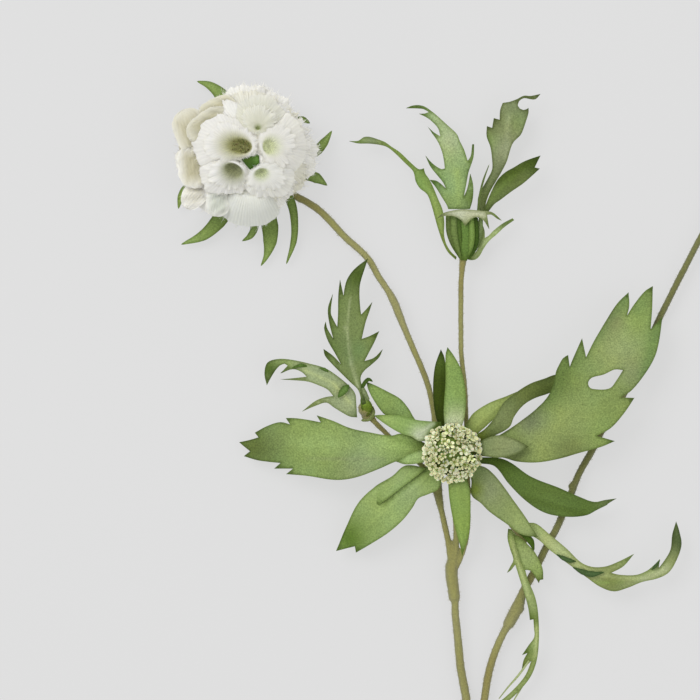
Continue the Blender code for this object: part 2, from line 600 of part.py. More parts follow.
def throat_petal(throat, azimuth, lip_short, lip_long, rim, drop, mouth, focus, cells=12, rows=4):
    """Open funnel with a long pleated lip that falls away on its outer side."""
    points = []
    for j in range(rows + 1):
        s = j / rows
        for i in range(cells):
            angle = azimuth + 2 * math.pi * i / cells
            fold = 1 if i % 2 else -1
            outward = ((1 + math.cos(angle - azimuth)) / 2) ** focus
            lip = lip_short + (lip_long - lip_short) * outward
            r = mouth * (0.6 + 0.4 * min(1.0, s * 2)) + lip * s ** 1.5
            z = THROAT_FLOOR + (rim - THROAT_FLOOR) * (1 - (1 - s) ** 2.2)
            z += outward * (0.35 * s * fold - drop * s ** 3)
            points.append(Vector((throat[0] + r * math.cos(angle), throat[1] + r * math.sin(angle), z)))
    triangles = []
    for j in range(rows):
        for i in range(cells):
            a = j * cells + i
            b = j * cells + (i + 1) % cells
            c = a + cells
            d = b + cells
            triangles += [(a, b, c), (b, d, c)]
    return thicken(points, triangles, PETAL)


THROAT_FLOOR = 19.5
# Outer petals: heading in degrees, half spread, reach, height at the rim, droop
OUTER_PETALS = [(-92, 27, 24.6, 15, 2.5), (-131, 19, 20.5, 19, 4.0), (-166, 21, 24, 18, 5.0),
                (158, 20, 25.4, 20, 5.5), (125, 19, 24.4, 21, 5.0), (92, 20, 24.6, 17, 2.0),
                (58, 20, 24.6, 16, 2.0), (24, 21, 25.2, 16, 2.0), (-12, 20, 25.2, 15, 2.0),
                (-49, 21, 24.6, 15, 2.0)]
# Throats: place, heading in degrees, short lip, long lip, rim height, drop, mouth, focus
THROATS = [((-39.8, 72.6), 160, 0.9, 10.4, 29.5, 6, 2.8, 1.2), ((-42.0, 64.6), 214, 0.9, 10.2, 31, 6, 2.8, 1.1),
           ((-28.6, 72.0), 8, 0.9, 12.4, 30, 8, 2.3, 0.9), ((-31.0, 63.2), -72, 0.9, 7.6, 28.5, 4, 2.3, 0.9),
           ((-33.5, 78.2), 92, 0.9, 12.2, 28.5, 7, 2.3, 1.0)]


def make_bloom():
    core = turned((BLOOM.x + 0.5, BLOOM.y - 0.3),
                  [(5.0, CALYX_TOP + GAP), (8.5, 9.5), (11, 14), (11, 19), (8.5, 21.6), (3, 22.4)], sides=14)
    solids = [core]
    for k in range(8):
        turn = math.radians(22 + 45 * k)
        solids.append(fan_petal(turn, math.radians(21), 7.0, 22.5, 11.5, 10.2, 0.35, 0.4, cells=5, rows=2))
    for heading, spread, reach, rim, droop in OUTER_PETALS:
        solids.append(fan_petal(math.radians(heading), math.radians(spread), 8.0, reach, 17.5, rim, 0.4, droop))
    for throat, heading, short, long, rim, drop, mouth, focus in THROATS:
        solids.append(throat_petal(throat, math.radians(heading), short, long, rim, drop, mouth, focus))
    fuse("bloom_petals", solids, PETAL_WHITE)


# Green bracts under the bloom: x, y, z and half width
BLOOM_BRACTS = [
    [(-36, 70, 5.6, 1.6), (-39.5, 79, 5.8, 2.4), (-44.3, 88.5, 5.2, 3.1), (-47, 92.6, 4.2, 2.3),
     (-50.8, 95.6, 3.2, 1.4), (-55.3, 97.1, 2.2, 0.2)],
    [(-30, 67.5, 5.6, 1.4), (-21, 69, 5.8, 1.8), (-12.6, 71.6, 5.4, 1.9), (-9.3, 75, 4.4, 1.5),
     (-6.5, 79.2, 3.4, 0.2)],
    [(-30.5, 66, 5.6, 1.4), (-23, 64.8, 5.8, 1.6), (-15.2, 63, 5.4, 1.8), (-12, 62, 4.8, 1.9),
     (-8.2, 59.4, 3.6, 0.2)],
    [(-31, 69.5, 5.6, 1.3), (-25, 76, 5.8, 1.7), (-18.5, 81.5, 5.2, 1.6), (-14.8, 84.3, 4.4, 0.2)],
    [(-38.5, 66, 5.6, 1.3), (-49, 63, 5.8, 1.8), (-58.6, 58.4, 5.0, 1.7), (-61, 55.3, 4.0, 1.2),
     (-62, 51, 2.8, 0.2)],
    [(-37, 63, 5.6, 1.6), (-42, 54, 5.8, 2.4), (-47.6, 46.4, 5.0, 2.7), (-53, 41.4, 4.0, 1.9),
     (-61, 38.1, 2.4, 0.2)],
    [(-34.8, 62, 5.6, 1.2), (-34.6, 52, 5.8, 1.4), (-34.5, 44.3, 4.8, 1.4), (-36, 41.2, 3.8, 1.1),
     (-39, 39.3, 3.0, 0.2)],
    [(-33.4, 62, 5.6, 1.4), (-30.6, 53, 5.8, 2.4), (-28.9, 44.6, 4.8, 3.0), (-28.9, 39, 3.8, 2.4),
     (-30.2, 34, 2.8, 1.0), (-32.2, 30.3, 2.2, 0.2)],
    [(-31.4, 63.3, 5.8, 1.2), (-25, 60, 6.2, 1.6), (-21.2, 53, 6.2, 1.6), (-20, 46, 5.2, 1.3),
     (-20.4, 39, 4.0, 1.1), (-23, 31, 2.4, 0.2)]]


def make_bloom_calyx():
    cup = turned(CALYX, [(2.6, 0.0), (4.0, 0.9), (4.9, 3.0), (5.0, 6.4), (4.6, CALYX_TOP)], sides=14)
    fuse("bloom_calyx", [cup] + [strap(path, step=9.0, cup=-0.06) for path in BLOOM_BRACTS], LEAF_GREEN)


# Upper shoot

SHOOT_LONG = [(38.2, 32.6), (35.4, 35.2), (33.4, 39), (31.8, 43.5), (30.5, 48), (29.4, 52), (27.8, 56),
              (25.2, 58.2), (23.7, 60.6), (23.2, 63), (22.6, 64.6), (19.6, 67.6), (16.4, 70.8), (14, 72.8),
              (12, 73.7), (7, 74.4), (3, 74.5), (-0.3, 75.3), (3, 75.4), (5, 76.7), (7, 76.8), (10, 75.9),
              (12.6, 74.9), (14.8, 73.3), (17.8, 71.3), (22, 67.3), (24.8, 65), (26.6, 65.4), (27, 63.6),
              (28.4, 61.6), (30, 58.4), (31.6, 54.5), (33.3, 50.4), (33.9, 46), (33.8, 42), (34.5, 38.6),
              (36.2, 35.6), (38.4, 33.5)]
SHOOT_LONG_RIB = [(38, 33.2, 6), (34, 39.5, 7.4), (32.2, 47, 8.4), (30.2, 54, 9), (26.6, 61, 9.2),
                  (20, 68.7, 8.2), (13, 74.3, 7), (6, 75.6, 6.4), (0, 75.2, 6)]
SHOOT_MIDDLE = [(35.4, 50.8), (34.9, 52.2), (33, 55.3), (31, 58.5), (28.8, 61.2), (31, 60.9), (33, 59.5),
                (34.6, 58), (33.5, 60.3), (31.5, 62.8), (29, 66), (27.2, 69.9), (28.7, 68), (30.8, 66.2),
                (33, 65), (34.1, 65.3), (33.8, 68), (33, 71.5), (31.5, 75), (29.5, 78), (28, 80.3),
                (30, 78.4), (32.5, 76.8), (31.8, 79.5), (30.4, 81.3), (28, 83.4), (24.8, 85.1), (27, 85.1),
                (28.4, 85.6), (26.5, 86.7), (24, 87), (20.2, 87.1), (22, 87.9), (24.5, 88.2), (27, 87.6),
                (30, 85.4), (33, 82.7), (35.5, 80.4), (38.4, 77.6), (39.5, 75), (41, 72), (42.3, 68),
                (43.4, 69.6), (44, 74), (44.6, 74), (44.4, 69.5), (43.3, 66), (42.6, 64), (41.7, 59),
                (40.9, 55), (42.2, 58), (43.3, 63.4), (44.2, 60), (44.4, 57), (44.1, 54), (43.2, 50.8)]
SHOOT_MIDDLE_RIB = [(39.2, 50.8, 7.6), (38.6, 58, 9.6), (37.5, 66, 11.4), (35.8, 74, 12), (32, 81.5, 11),
                    (27, 86.4, 9), (20.2, 87.2, 7.4)]
SHOOT_BITTEN = [(45.5, 48.9), (46, 51.5), (46.2, 55), (47.5, 58), (49.5, 61.5), (51.2, 65), (51.2, 68.5), (50.6, 73),
                (49.2, 77), (49.3, 80.6), (51.2, 80), (51.8, 83.5), (53.9, 82.9), (54.1, 86.5), (55, 89),
                (57.5, 89.4), (60.2, 90.4), (62.6, 91.6), (65, 91.5), (68.6, 92.2), (66.8, 90.3),
                (65.1, 90.3), (62.6, 90.7), (60.9, 89.6), (60.4, 88), (61.2, 86.9), (62.5, 86.4),
                (63.6, 86.7), (64.3, 87.2), (64.3, 85.5), (63.4, 82.5), (62.4, 79.5), (61.5, 77.5),
                (59, 75), (58, 73), (56.5, 68), (54.5, 64), (52, 59.8), (50.2, 56.5), (49, 53), (48.6, 50.8),
                (47.4, 48), (46.2, 47.6)]
SHOOT_BITTEN_RIB = [(46.3, 48.2, 6.2), (47.4, 51.5, 5.8), (48.4, 56, 6.2), (52.6, 64, 7.2), (54.5, 72, 8), (56.5, 80, 8.4),
                    (60, 89, 8)]
SHOOT_SPLIT = [(47.7, 49.3), (49.4, 49.6), (52, 52.6), (54, 54), (58, 57), (62, 59.7), (65, 62.3), (68.3, 65.3),
               (66.4, 65.7), (67.3, 67.5), (68.6, 70), (65, 68.8), (62, 67.5), (59, 65.7), (56, 64),
               (53.6, 61.8), (52, 59.4), (50.4, 56)]
SHOOT_SPLIT_RIB = [(48.4, 49.7, 7.2), (50.4, 53, 9.2), (56, 59.6, 11.2), (62, 64, 11), (68, 67.6, 9)]
SHOOT_SHEATH = [(43.2, 32.4), (45.2, 32.6), (46.8, 34), (48.2, 36.6), (50.2, 39.4), (52.4, 41.3),
                (55.8, 44.4), (59.2, 46.8), (58.6, 47.5), (55, 45.6), (51.5, 42.8), (50, 41.2),
                (48.6, 40.4), (48.5, 43), (47.7, 45.4), (47.5, 41), (46.9, 38.4), (45.6, 35.6), (43.9, 34)]
SHOOT_SHEATH_RIB = [(43.6, 33.2, 5.6), (47, 36.8, 6.2), (52, 42, 6.8), (59, 47.1, 6.4)]
SHOOT_ARCH = [(30.9, 47), (33, 48.9), (35.5, 49.7), (40, 50.3), (44, 50.2), (47.6, 50), (51, 49.6),
              (53.2, 48), (54.6, 46.6), (53, 47.2), (50.8, 48.7), (49.2, 48.6), (50.1, 43.5), (48.2, 46),
              (46.5, 46.9), (43, 46.2), (41.3, 44.6), (39, 46.3), (36, 46), (34.9, 47.6), (32.8, 48)]
SHOOT_ARCH_RIB = [(30.9, 47, 10.2), (35, 48.2, 12.2), (41, 48.6, 12.9), (46, 48.4, 12.2), (54, 47.4, 9.6)]


def make_upper_shoot():
    bud = [lump((41.2, 41.8, 6.6), (6.0, 8.3, 4.9), 12, 7)]
    for angle in (-70, -35, 0, 35, 70):
        turn = math.radians(angle)
        x = 41.2 + 4.6 * math.sin(turn)
        z = 6.6 + 3.7 * math.cos(turn)
        bud.append(strap([(41.2 + 1.4 * math.sin(turn), 35.2, 6.8 + 1.4 * math.cos(turn), 0.5),
                          (41.2 + 3.7 * math.sin(turn), 38.6, 6.6 + 3.6 * math.cos(turn), 1.1),
                          (x + 0.6 * math.sin(turn), 43.2, z + 0.9, 1.1),
                          (41.2 + 3.4 * math.sin(turn), 47.6, 6.6 + 3.4 * math.cos(turn), 0.2)],
                         step=5.0, thickness=0.9))
    fuse("upper_shoot_bud", bud, LEAF_GREEN)
    place("upper_leaf_long", *blade(SHOOT_LONG, SHOOT_LONG_RIB, tilt=0.25), PALE_GREEN)
    place("upper_leaf_middle", *blade(SHOOT_MIDDLE, SHOOT_MIDDLE_RIB, cup=-0.02), LEAF_GREEN)
    place("upper_leaf_bitten", *blade(SHOOT_BITTEN, SHOOT_BITTEN_RIB, cup=0.01), GREY_GREEN)
    place("upper_leaf_split", *blade(SHOOT_SPLIT, SHOOT_SPLIT_RIB, tilt=0.15), DARK_GREEN)
    place("upper_leaf_sheath", *blade(SHOOT_SHEATH, SHOOT_SHEATH_RIB), PALE_GREEN)
    place("upper_leaf_arched", *blade(SHOOT_ARCH, SHOOT_ARCH_RIB, tilt=0.25), GREY_GREEN)


# Left shoot

LEFT_UPRIGHT = [(4.3, -19.7), (3, -14.5), (0, -11.5), (-3, -8.5), (-6.5, -5), (-9, -2), (-9.5, 0.4), (-6.2, -2),
                (-3.3, -5), (-5.5, -1), (-8, 3.5), (-9.3, 8), (-8.7, 10.2), (-8.3, 8), (-6, 4), (-7.5, 10),
                (-7.9, 15), (-6.2, 20.2), (-6.9, 13.4), (-6, 11), (-4.6, 8.3), (-4.3, 13), (-4.2, 20),
                (-3.6, 25.3), (-2.3, 19.5), (-2, 22), (-1, 25.5), (1.5, 29), (6.5, 33), (5.2, 29), (3.7, 24),
                (3.4, 20), (3.7, 15), (4, 12.7), (6, 14.8), (8, 17.2), (7, 14), (5.6, 10), (4.2, 4),
                (7, 5), (10.5, 6.8), (8.6, 2.5), (7, -0.5), (5.2, -4), (8.6, -2.8), (11.7, 0.2), (10.5, -2.6),
                (8, -5), (5, -7.6), (3.8, -10), (4.3, -13), (5.8, -19.3)]
LEFT_UPRIGHT_RIB = [(5, -19.6, 10.2), (2.6, -12.5, 10.2), (0.2, -5, 10.8), (-0.8, 6, 11.4), (0, 18, 11.2),
                    (2, 27, 10), (6.5, 33, 8)]
LEFT_ARCHED = [(2.6, -24.3), (0, -24), (-3, -22.4), (-6, -20.5), (-8.5, -18.9), (-12, -19.9), (-17.2, -22.1),
               (-12.5, -18.4), (-8.8, -17), (-6, -16.6), (-8, -14.3), (-11, -12.8), (-15, -11.4), (-20, -10.9),
               (-25.2, -10.6), (-20, -10.1), (-15.6, -9.6), (-17.4, -7.9), (-20.5, -6.9), (-25, -8.4),
               (-22.4, -5.6), (-23.5, -4.9), (-25.4, -5.7), (-28, -9), (-30, -12.7), (-30.8, -9), (-30.3, -5.5),
               (-29, -4), (-25, -3.2), (-20, -3.7), (-15, -4.8), (-9, -6.5), (-5, -9), (0, -13.2), (1.9, -15.8),
               (2.2, -19.2)]
LEFT_ARCHED_RIB = [(2.4, -21.8, 7.2), (-2, -16.5, 8.8), (-8, -10.5, 10.2), (-16, -6.6, 10.6), (-24, -4.2, 9.6),
                   (-29.5, -6, 7.4), (-30, -12.6, 5)]


def make_left_shoot():
    place("left_leaf_upright", *blade(LEFT_UPRIGHT, LEFT_UPRIGHT_RIB, cup=0.012, step=6.0), LEAF_GREEN)
    curled = [strap([(-1.0, -13.4, 9.6, 1.3), (-2.4, -14.6, 10.6, 1.3), (-4.2, -16.2, 10.4, 0.2)]),
              strap([(-8.2, -7.6, 10.2, 0.8), (-9.4, -6.9, 11.0, 0.7), (-10.8, -6.7, 11.0, 0.2)]),
              strap([(-15.5, -6.2, 10.4, 0.7), (-18.5, -5.6, 11.2, 0.8), (-20.6, -6.4, 11.0, 0.2)])]
    fuse("left_leaf_arched", [blade(LEFT_ARCHED, LEFT_ARCHED_RIB, cup=-0.012, step=6.0)] + curled, PALE_GREEN)


# Lower right shoot

CURVED_LEAF = [(63.2, -65.6), (62.4, -64.8), (63.8, -62.2), (67, -62.5), (72, -66.5), (78, -71.5), (83, -76.3), (87, -78),
               (92, -77.9), (97, -76), (102.2, -73.4), (98.4, -77.8), (94, -80.2), (97, -80.9), (103, -81),
               (107, -79.5), (109.6, -77.4), (111.6, -75.4), (111.2, -78.6), (113, -76.3), (115.5, -72),
               (116.2, -66.5), (117.6, -61.8), (118.6, -65), (119.5, -70), (118, -75), (115, -80), (111, -82.2),
               (105, -83.6), (100, -85.6), (95, -86.9), (90, -85.2), (85, -81.7), (80, -78), (76, -75.1),
               (72, -72), (68, -68.4)]
CURVED_LEAF_RIB = [(62.8, -65.2, 8.7), (65, -64.4, 8.8), (72, -69, 9.4), (80, -75.2, 10), (90, -81.4, 9.6), (102, -82.6, 8.4),
                   (112, -79.5, 7.4), (117.4, -71, 6.6), (117.6, -62, 6)]
HANGING_LEAF = [(57.0, -64.4), (56.8, -68), (57.8, -72), (58.9, -75.6), (57.8, -78), (56.6, -80.3),
                (57.8, -79.6), (59.6, -77.4), (61, -82), (62.6, -87), (64, -92), (64.6, -95.4), (64.8, -97.3),
                (66.1, -97), (66.3, -100), (66.4, -103.4), (64.4, -106.4), (62, -110), (64, -109.2), (62.6, -111.8),
                (61.9, -115.2), (64, -113.4), (65.4, -112), (63.4, -117), (60.4, -121), (57, -124.4),
                (53.4, -127.6), (52.2, -129.6), (56, -127.6), (61, -123), (65, -118), (67.2, -112.4),
                (68, -106), (68, -98), (67.4, -92), (66.2, -87.6), (64.2, -83), (62.8, -78), (61.4, -73),
                (60.2, -70.2), (59.5, -67.6), (58, -65.3)]
HANGING_LEAF_RIB = [(57.6, -64.6, 6.3), (58.4, -69, 6.3), (60.4, -76, 6.4), (63.4, -85, 7.2), (66.6, -96, 7.4), (67, -106, 7),
                    (64.4, -115.4, 6), (59, -122.6, 5), (52.6, -128.6, 4)]
SHORT_LEAF = [(59.4, -67.2), (61.4, -72), (62.6, -76.6), (63.4, -79), (65, -79.4), (66.8, -82), (68, -84),
              (68.4, -82.8), (69.6, -82.6), (69.4, -79), (68.2, -76.6), (66, -72.8), (64, -70.8),
              (61.4, -70.2)]
SHORT_LEAF_RIB = [(60.6, -69.4, 9.4), (65, -75.6, 9.4), (68.6, -83, 8)]


def make_lower_shoot():
    curled = [strap([(75.4, -74.0, 10.0, 0.9), (78.2, -75.6, 11.0, 1.0), (81.0, -76.2, 10.8, 0.3)]),
              strap([(82, -79.4, 9.8, 1.0), (86, -80.4, 10.9, 1.3), (90.2, -80.1, 10.9, 0.2)])]
    fuse("lower_leaf_curved", [blade(CURVED_LEAF, CURVED_LEAF_RIB, tilt=0.12, step=6.0)] + curled, PALE_GREEN)
    place("lower_leaf_hanging", *blade(HANGING_LEAF, HANGING_LEAF_RIB, step=6.0), PALE_GREEN)
    place("lower_leaf_short", *blade(SHORT_LEAF, SHORT_LEAF_RIB), LEAF_GREEN)


# Closed bud at the end of the right branch

BUD = Vector((141, 70, 4.4))


def make_side_bud():
    solids = [turned((BUD.x, BUD.y), [(1.6, 0.0), (3.2, 1.0), (4.3, 3.2), (4.3, 5.6), (3.0, 7.8), (1.2, 8.6)],
                     sides=12)]
    for k in range(6):
        turn = math.radians(275 + 60 * k)
        reach = Vector((math.cos(turn), math.sin(turn)))
        solids.append(strap([(BUD.x + reach.x * 2.6, BUD.y + reach.y * 2.6, 3.4, 1.0),
                             (BUD.x + reach.x * 6.0, BUD.y + reach.y * 6.0, 3.4, 1.2),
                             (BUD.x + reach.x * 10.5, BUD.y + reach.y * 10.5, 2.6, 0.2)], step=6.0))
    fuse("side_bud", solids, LEAF_GREEN)


clear_scene()
make_stem()
make_head_leaves()
make_head_florets()
make_bloom()
make_bloom_calyx()
make_upper_shoot()
make_left_shoot()
make_lower_shoot()
make_side_bud()
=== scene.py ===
"""Looks of the scabiosa spray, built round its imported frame.

Every leaf is a dyed cloth blade, the bloom is pleated sheer cloth with frayed rims, the green head is
a crowd of small open florets and the stems are fuzzy. Drawing numbers are millimetres seen from above,
as in the part's source: x to the right, y up the stem and z up from the surface the spray lies on.
"""
import math
import random

import bpy
import numpy as np
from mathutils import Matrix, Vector
from mathutils.geometry import delaunay_2d_cdt


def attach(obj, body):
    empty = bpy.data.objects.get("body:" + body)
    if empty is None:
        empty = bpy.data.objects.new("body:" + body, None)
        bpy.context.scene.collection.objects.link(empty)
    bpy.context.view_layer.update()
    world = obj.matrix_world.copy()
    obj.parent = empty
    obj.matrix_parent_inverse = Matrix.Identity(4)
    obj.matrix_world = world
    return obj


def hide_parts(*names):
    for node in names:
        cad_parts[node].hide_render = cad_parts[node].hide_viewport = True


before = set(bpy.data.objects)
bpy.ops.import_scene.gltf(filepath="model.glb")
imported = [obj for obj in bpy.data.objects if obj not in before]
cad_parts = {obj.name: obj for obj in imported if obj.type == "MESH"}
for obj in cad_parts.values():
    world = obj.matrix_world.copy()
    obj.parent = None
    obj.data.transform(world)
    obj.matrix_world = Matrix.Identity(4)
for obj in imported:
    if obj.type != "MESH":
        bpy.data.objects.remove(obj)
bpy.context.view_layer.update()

# Places and sizes shared with the part, in drawing millimetres
MM = 0.001
ORIGIN = Vector((44.2, -103.0, 0.0))
FOOT_Y = -303.0
HEAD = Vector((36.5, -37.0, 0.0))
HEAD_NECK_RADIUS = 6.3
HEAD_NECK_TOP = 18.6
DOME_RADIUS = 8.5
DOME_BASE = 18.95
DOME_HEIGHT = 4.6
BLOOM = Vector((-36.5, 69.0, 0.0))
CALYX = Vector((-34.5, 66.5, 0.0))
CALYX_TOP = 7.0
BUD = Vector((141.0, 70.0, 4.4))

# Cloth, threads and how fine the looks are: millimetres, degrees, counts and shares, one turn in radians
CLOTH = 0.42
SHEER = 0.26
CLOTH_STEP = 1.25
TOOTH_ANGLE = 75
CORNER_ANGLE = 52
RIB_WIDTH = 0.7
VEIN_SPACING = 4.2
STEM_VOXEL = 0.42
STEM_HAIRS = 9000
HEAD_FLORETS = 88
SIDE_FLORETS = 34
GOLDEN_TURN = math.pi * (3 - math.sqrt(5))
HAIR_RADIUS = 0.045
THREAD_RADIUS = 0.075
FAN_DEPTH = 0.10
FAN_BASE_SHARE = 0.5
BACK_COLUMNS = 34
BACK_ROWS = 40
BACK_PLEATS = 9
BACK_DEPTH = 0.06
BACK_THREADS = 30
THROAT_COLUMNS = 244
THROAT_PLEATS = 61
THROAT_DEPTH = 0.05
THROAT_NECK = 0.4

# Studio: heights and sizes in metres, the lens in millimetres, and two strengths of light
CAMERA_HEIGHT = 1.809
CAMERA_LENS = 257.14
FLOOR_HALF = 3.0
FLOOR_DROP = 0.0002
FLOOR_GLOW = 0.59
SKY_STRENGTH = 0.70


# Colours, given as they look on a screen

def paint(red, green, blue):
    """Screen colour, 0 to 255, as the linear colour that a shader takes."""
    out = []
    for part in (red, green, blue):
        level = part / 255
        out.append(level / 12.92 if level <= 0.04045 else ((level + 0.055) / 1.055) ** 2.4)
    return np.array(out)


MID = paint(134, 157, 88)
LIGHT = paint(150, 173, 102)
FRESH = paint(140, 166, 88)
DEEP = paint(98, 120, 54)
DARK = paint(64, 82, 16)
# Green of painted shade, for the leaf that is turned away from the light
PAINTED_SHADE_GREEN = paint(48, 62, 8)
OLIVE = paint(118, 126, 52)
GREY = paint(128, 140, 98)
MIST = paint(170, 181, 138)
PALE = paint(178, 190, 132)
STRAW = paint(150, 164, 94)
UNDER = paint(148, 164, 110)
BEIGE = paint(182, 186, 156)
BROWN = paint(122, 104, 60)
WHITE = paint(248, 246, 240)
IVORY = paint(202, 196, 168)
CREAM = paint(238, 235, 218)
SILVER = paint(220, 223, 212)
CREAM_GREEN = paint(240, 240, 202)
FLORET_GREEN = paint(134, 150, 54)
HAIR_TONE = paint(176, 172, 122)
TOOTH_TINT = np.array((0.42, 0.48, 0.3))


# Meshes

class Shell:
    """The vertices, faces, colours and surface marks of one piece, collected part by part; the colours hold
    painted shade and painted highlights as well as real tones.
    """

    def __init__(self):
        self.verts = []
        self.faces = []
        self.dye_and_shade = []
        self.marks = {name: [] for name in ("side", "run", "edge")}

    def add(self, verts, faces, dye_and_shade, side=0.0, run=0.0, edge=9.0):
        first = len(self.verts)
        count = len(verts)
        self.verts += [Vector(v) for v in verts]
        self.faces += [tuple(first + i for i in face) for face in faces]
        self.dye_and_shade.append(np.broadcast_to(np.asarray(dye_and_shade, dtype=float), (count, 3)))
        for name, value in (("side", side), ("run", run), ("edge", edge)):
            self.marks[name].append(np.broadcast_to(np.asarray(value, dtype=float), (count,)))

    def piece(self, name, material, nodes=(), sharp=50):
        """Turn the collected parts into one object that rides on the part."""
        mesh = bpy.data.meshes.new(name)
        mesh.from_pydata([tuple((v - ORIGIN) * MM) for v in self.verts], [], self.faces)
        dye_and_shade = np.vstack(self.dye_and_shade)
        # The colour attribute holds real tones together with painted shade and painted highlights.
        colour = mesh.attributes.new("dye_and_shade", "FLOAT_COLOR", "POINT")
        colour.data.foreach_set("color", np.hstack([dye_and_shade, np.ones((len(dye_and_shade), 1))]).ravel())
        for label, values in self.marks.items():
            mark = mesh.attributes.new(label, "FLOAT", "POINT")
            mark.data.foreach_set("value", np.concatenate(values))
        mesh.shade_smooth()
        mesh.set_sharp_from_angle(angle=math.radians(sharp))
        mesh.materials.append(material)
        obj = bpy.data.objects.new(name, mesh)
        bpy.context.scene.collection.objects.link(obj)
        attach(obj, "root")
        if nodes:
            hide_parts(*nodes)
        return obj


def thicken(points, triangles, thickness):
    """Give a sheet two faces and a rim. Its second half of vertices is the underside."""
    spots = np.array([tuple(p) for p in points])
    tris = np.array(triangles)
    normals = np.zeros_like(spots)
    faces_normal = np.cross(spots[tris[:, 1]] - spots[tris[:, 0]], spots[tris[:, 2]] - spots[tris[:, 0]])
    for corner in range(3):
        np.add.at(normals, tris[:, corner], faces_normal)
    normals /= np.maximum(np.linalg.norm(normals, axis=1, keepdims=True), 1e-12)
    verts = np.vstack([spots + normals * thickness / 2, spots - normals * thickness / 2])
    count = len(spots)
    faces = [tuple(tri) for tri in triangles]
    faces += [(c + count, b + count, a + count) for a, b, c in triangles]
    edges = {(tri[k], tri[(k + 1) % 3]) for tri in triangles for k in range(3)}
    for a, b in sorted(edges):
        if (b, a) not in edges:
            faces.append((b, a, a + count, b + count))
    return verts, faces


def twice(values):
    return np.concatenate([values, values])


# Curves

def smooth_path(points, step):
    """Smooth curve through (x, y, z, ...) stations, as pairs of a place and the rest."""
    pts = [tuple(p) for p in points]
    out = []
    for i in range(len(pts) - 1):
        p0 = Vector(pts[max(i - 1, 0)][:3])
        p1 = Vector(pts[i][:3])
        p2 = Vector(pts[i + 1][:3])
        p3 = Vector(pts[min(i + 2, len(pts) - 1)][:3])
        span = (p2 - p1).length
        count = max(1, round(span / step))
        tangent_1 = (p2 - p0) * (span / max((p2 - p0).length, 1e-6))
        tangent_2 = (p3 - p1) * (span / max((p3 - p1).length, 1e-6))
        for k in range(count):
            t = k / count
            h1 = 2 * t ** 3 - 3 * t ** 2 + 1
            h2 = t ** 3 - 2 * t ** 2 + t
            h3 = -2 * t ** 3 + 3 * t ** 2
            h4 = t ** 3 - t ** 2
            place_at = p1 * h1 + tangent_1 * h2 + p2 * h3 + tangent_2 * h4
            rest = [a + (b - a) * t for a, b in zip(pts[i][3:], pts[i + 1][3:])]
            out.append((place_at, rest))
    out.append((Vector(pts[-1][:3]), list(pts[-1][3:])))
    return out


def soften_outline(outline, step):
    """Run a curve through an outline's points, and keep its teeth and notches sharp."""
    pts = [Vector(p) for p in outline]
    count = len(pts)
    sharp = []
    for i in range(count):
        before = pts[i] - pts[i - 1]
        after = pts[(i + 1) % count] - pts[i]
        sharp.append(math.degrees(before.angle(after, 0.0)) > CORNER_ANGLE)
    out = []
    for i in range(count):
        p1 = pts[i]
        p2 = pts[(i + 1) % count]
        span = (p2 - p1).length
        across_1 = p2 - pts[i - 1]
        across_2 = pts[(i + 2) % count] - p1
        lead_1 = (p2 - p1) if sharp[i] else across_1 * (span / max(across_1.length, 1e-6))
        lead_2 = (p2 - p1) if sharp[(i + 1) % count] else across_2 * (span / max(across_2.length, 1e-6))
        pieces = max(1, round(span / step))
        for k in range(pieces):
            t = k / pieces
            out.append(tuple(p1 * (2 * t ** 3 - 3 * t ** 2 + 1) + lead_1 * (t ** 3 - 2 * t ** 2 + t)
                             + p2 * (3 * t ** 2 - 2 * t ** 3) + lead_2 * (t ** 3 - t ** 2)))
    return out


def ring_faces(rings, sides):
    """Faces between rings of vertices, and the two end faces."""
    faces = []
    for i in range(rings - 1):
        for k in range(sides):
            a = i * sides + k
            b = i * sides + (k + 1) % sides
            faces.append((a, b, b + sides, a + sides))
    faces.append(tuple(reversed(range(sides))))
    faces.append(tuple(range((rings - 1) * sides, rings * sides)))
    return faces


def tube(points, sides=16, step=1.6):
    """Round tube along a smooth path of (x, y, z, radius)."""
    path = smooth_path(points, step)
    centres = [p for p, _ in path]
    verts = []
    up = Vector((0, 0, 1))
    for i, (centre, rest) in enumerate(path):
        ahead = centres[min(i + 1, len(centres) - 1)] - centres[max(i - 1, 0)]
        ahead.normalize()
        up = (up - ahead * up.dot(ahead)).normalized()
        side = ahead.cross(up)
        for k in range(sides):
            angle = 2 * math.pi * k / sides
            verts.append(centre - (up * math.cos(angle) + side * math.sin(angle)) * rest[0])
    return verts, ring_faces(len(path), sides)


def turned(centre, profile, sides=32):
    """Solid turned round a vertical axis from (radius, height) pairs, bottom to top."""
    verts = []
    for radius, height in profile:
        for k in range(sides):
            angle = 2 * math.pi * k / sides
            x = centre[0] + radius * math.cos(angle)
            y = centre[1] + radius * math.sin(angle)
            verts.append(Vector((x, y, height)))
    return verts, ring_faces(len(profile), sides)


def lump(centre, radii, sides=24, rows=14):
    """Egg shape with three radii."""
    verts = [Vector(centre) - Vector((0, 0, radii[2]))]
    for j in range(1, rows):
        tilt = math.pi * j / rows
        for k in range(sides):
            angle = 2 * math.pi * k / sides
            verts.append(Vector(centre) + Vector((radii[0] * math.sin(tilt) * math.cos(angle),
                                                  radii[1] * math.sin(tilt) * math.sin(angle),
                                                  -radii[2] * math.cos(tilt))))
    verts.append(Vector(centre) + Vector((0, 0, radii[2])))
    faces = []
    top = len(verts) - 1
    for k in range(sides):
        n = (k + 1) % sides
        faces.append((0, 1 + n, 1 + k))
        faces.append((top, top - sides + k, top - sides + n))
        for j in range(rows - 2):
            a = 1 + j * sides
            faces.append((a + k, a + n, a + n + sides, a + k + sides))
    return verts, faces


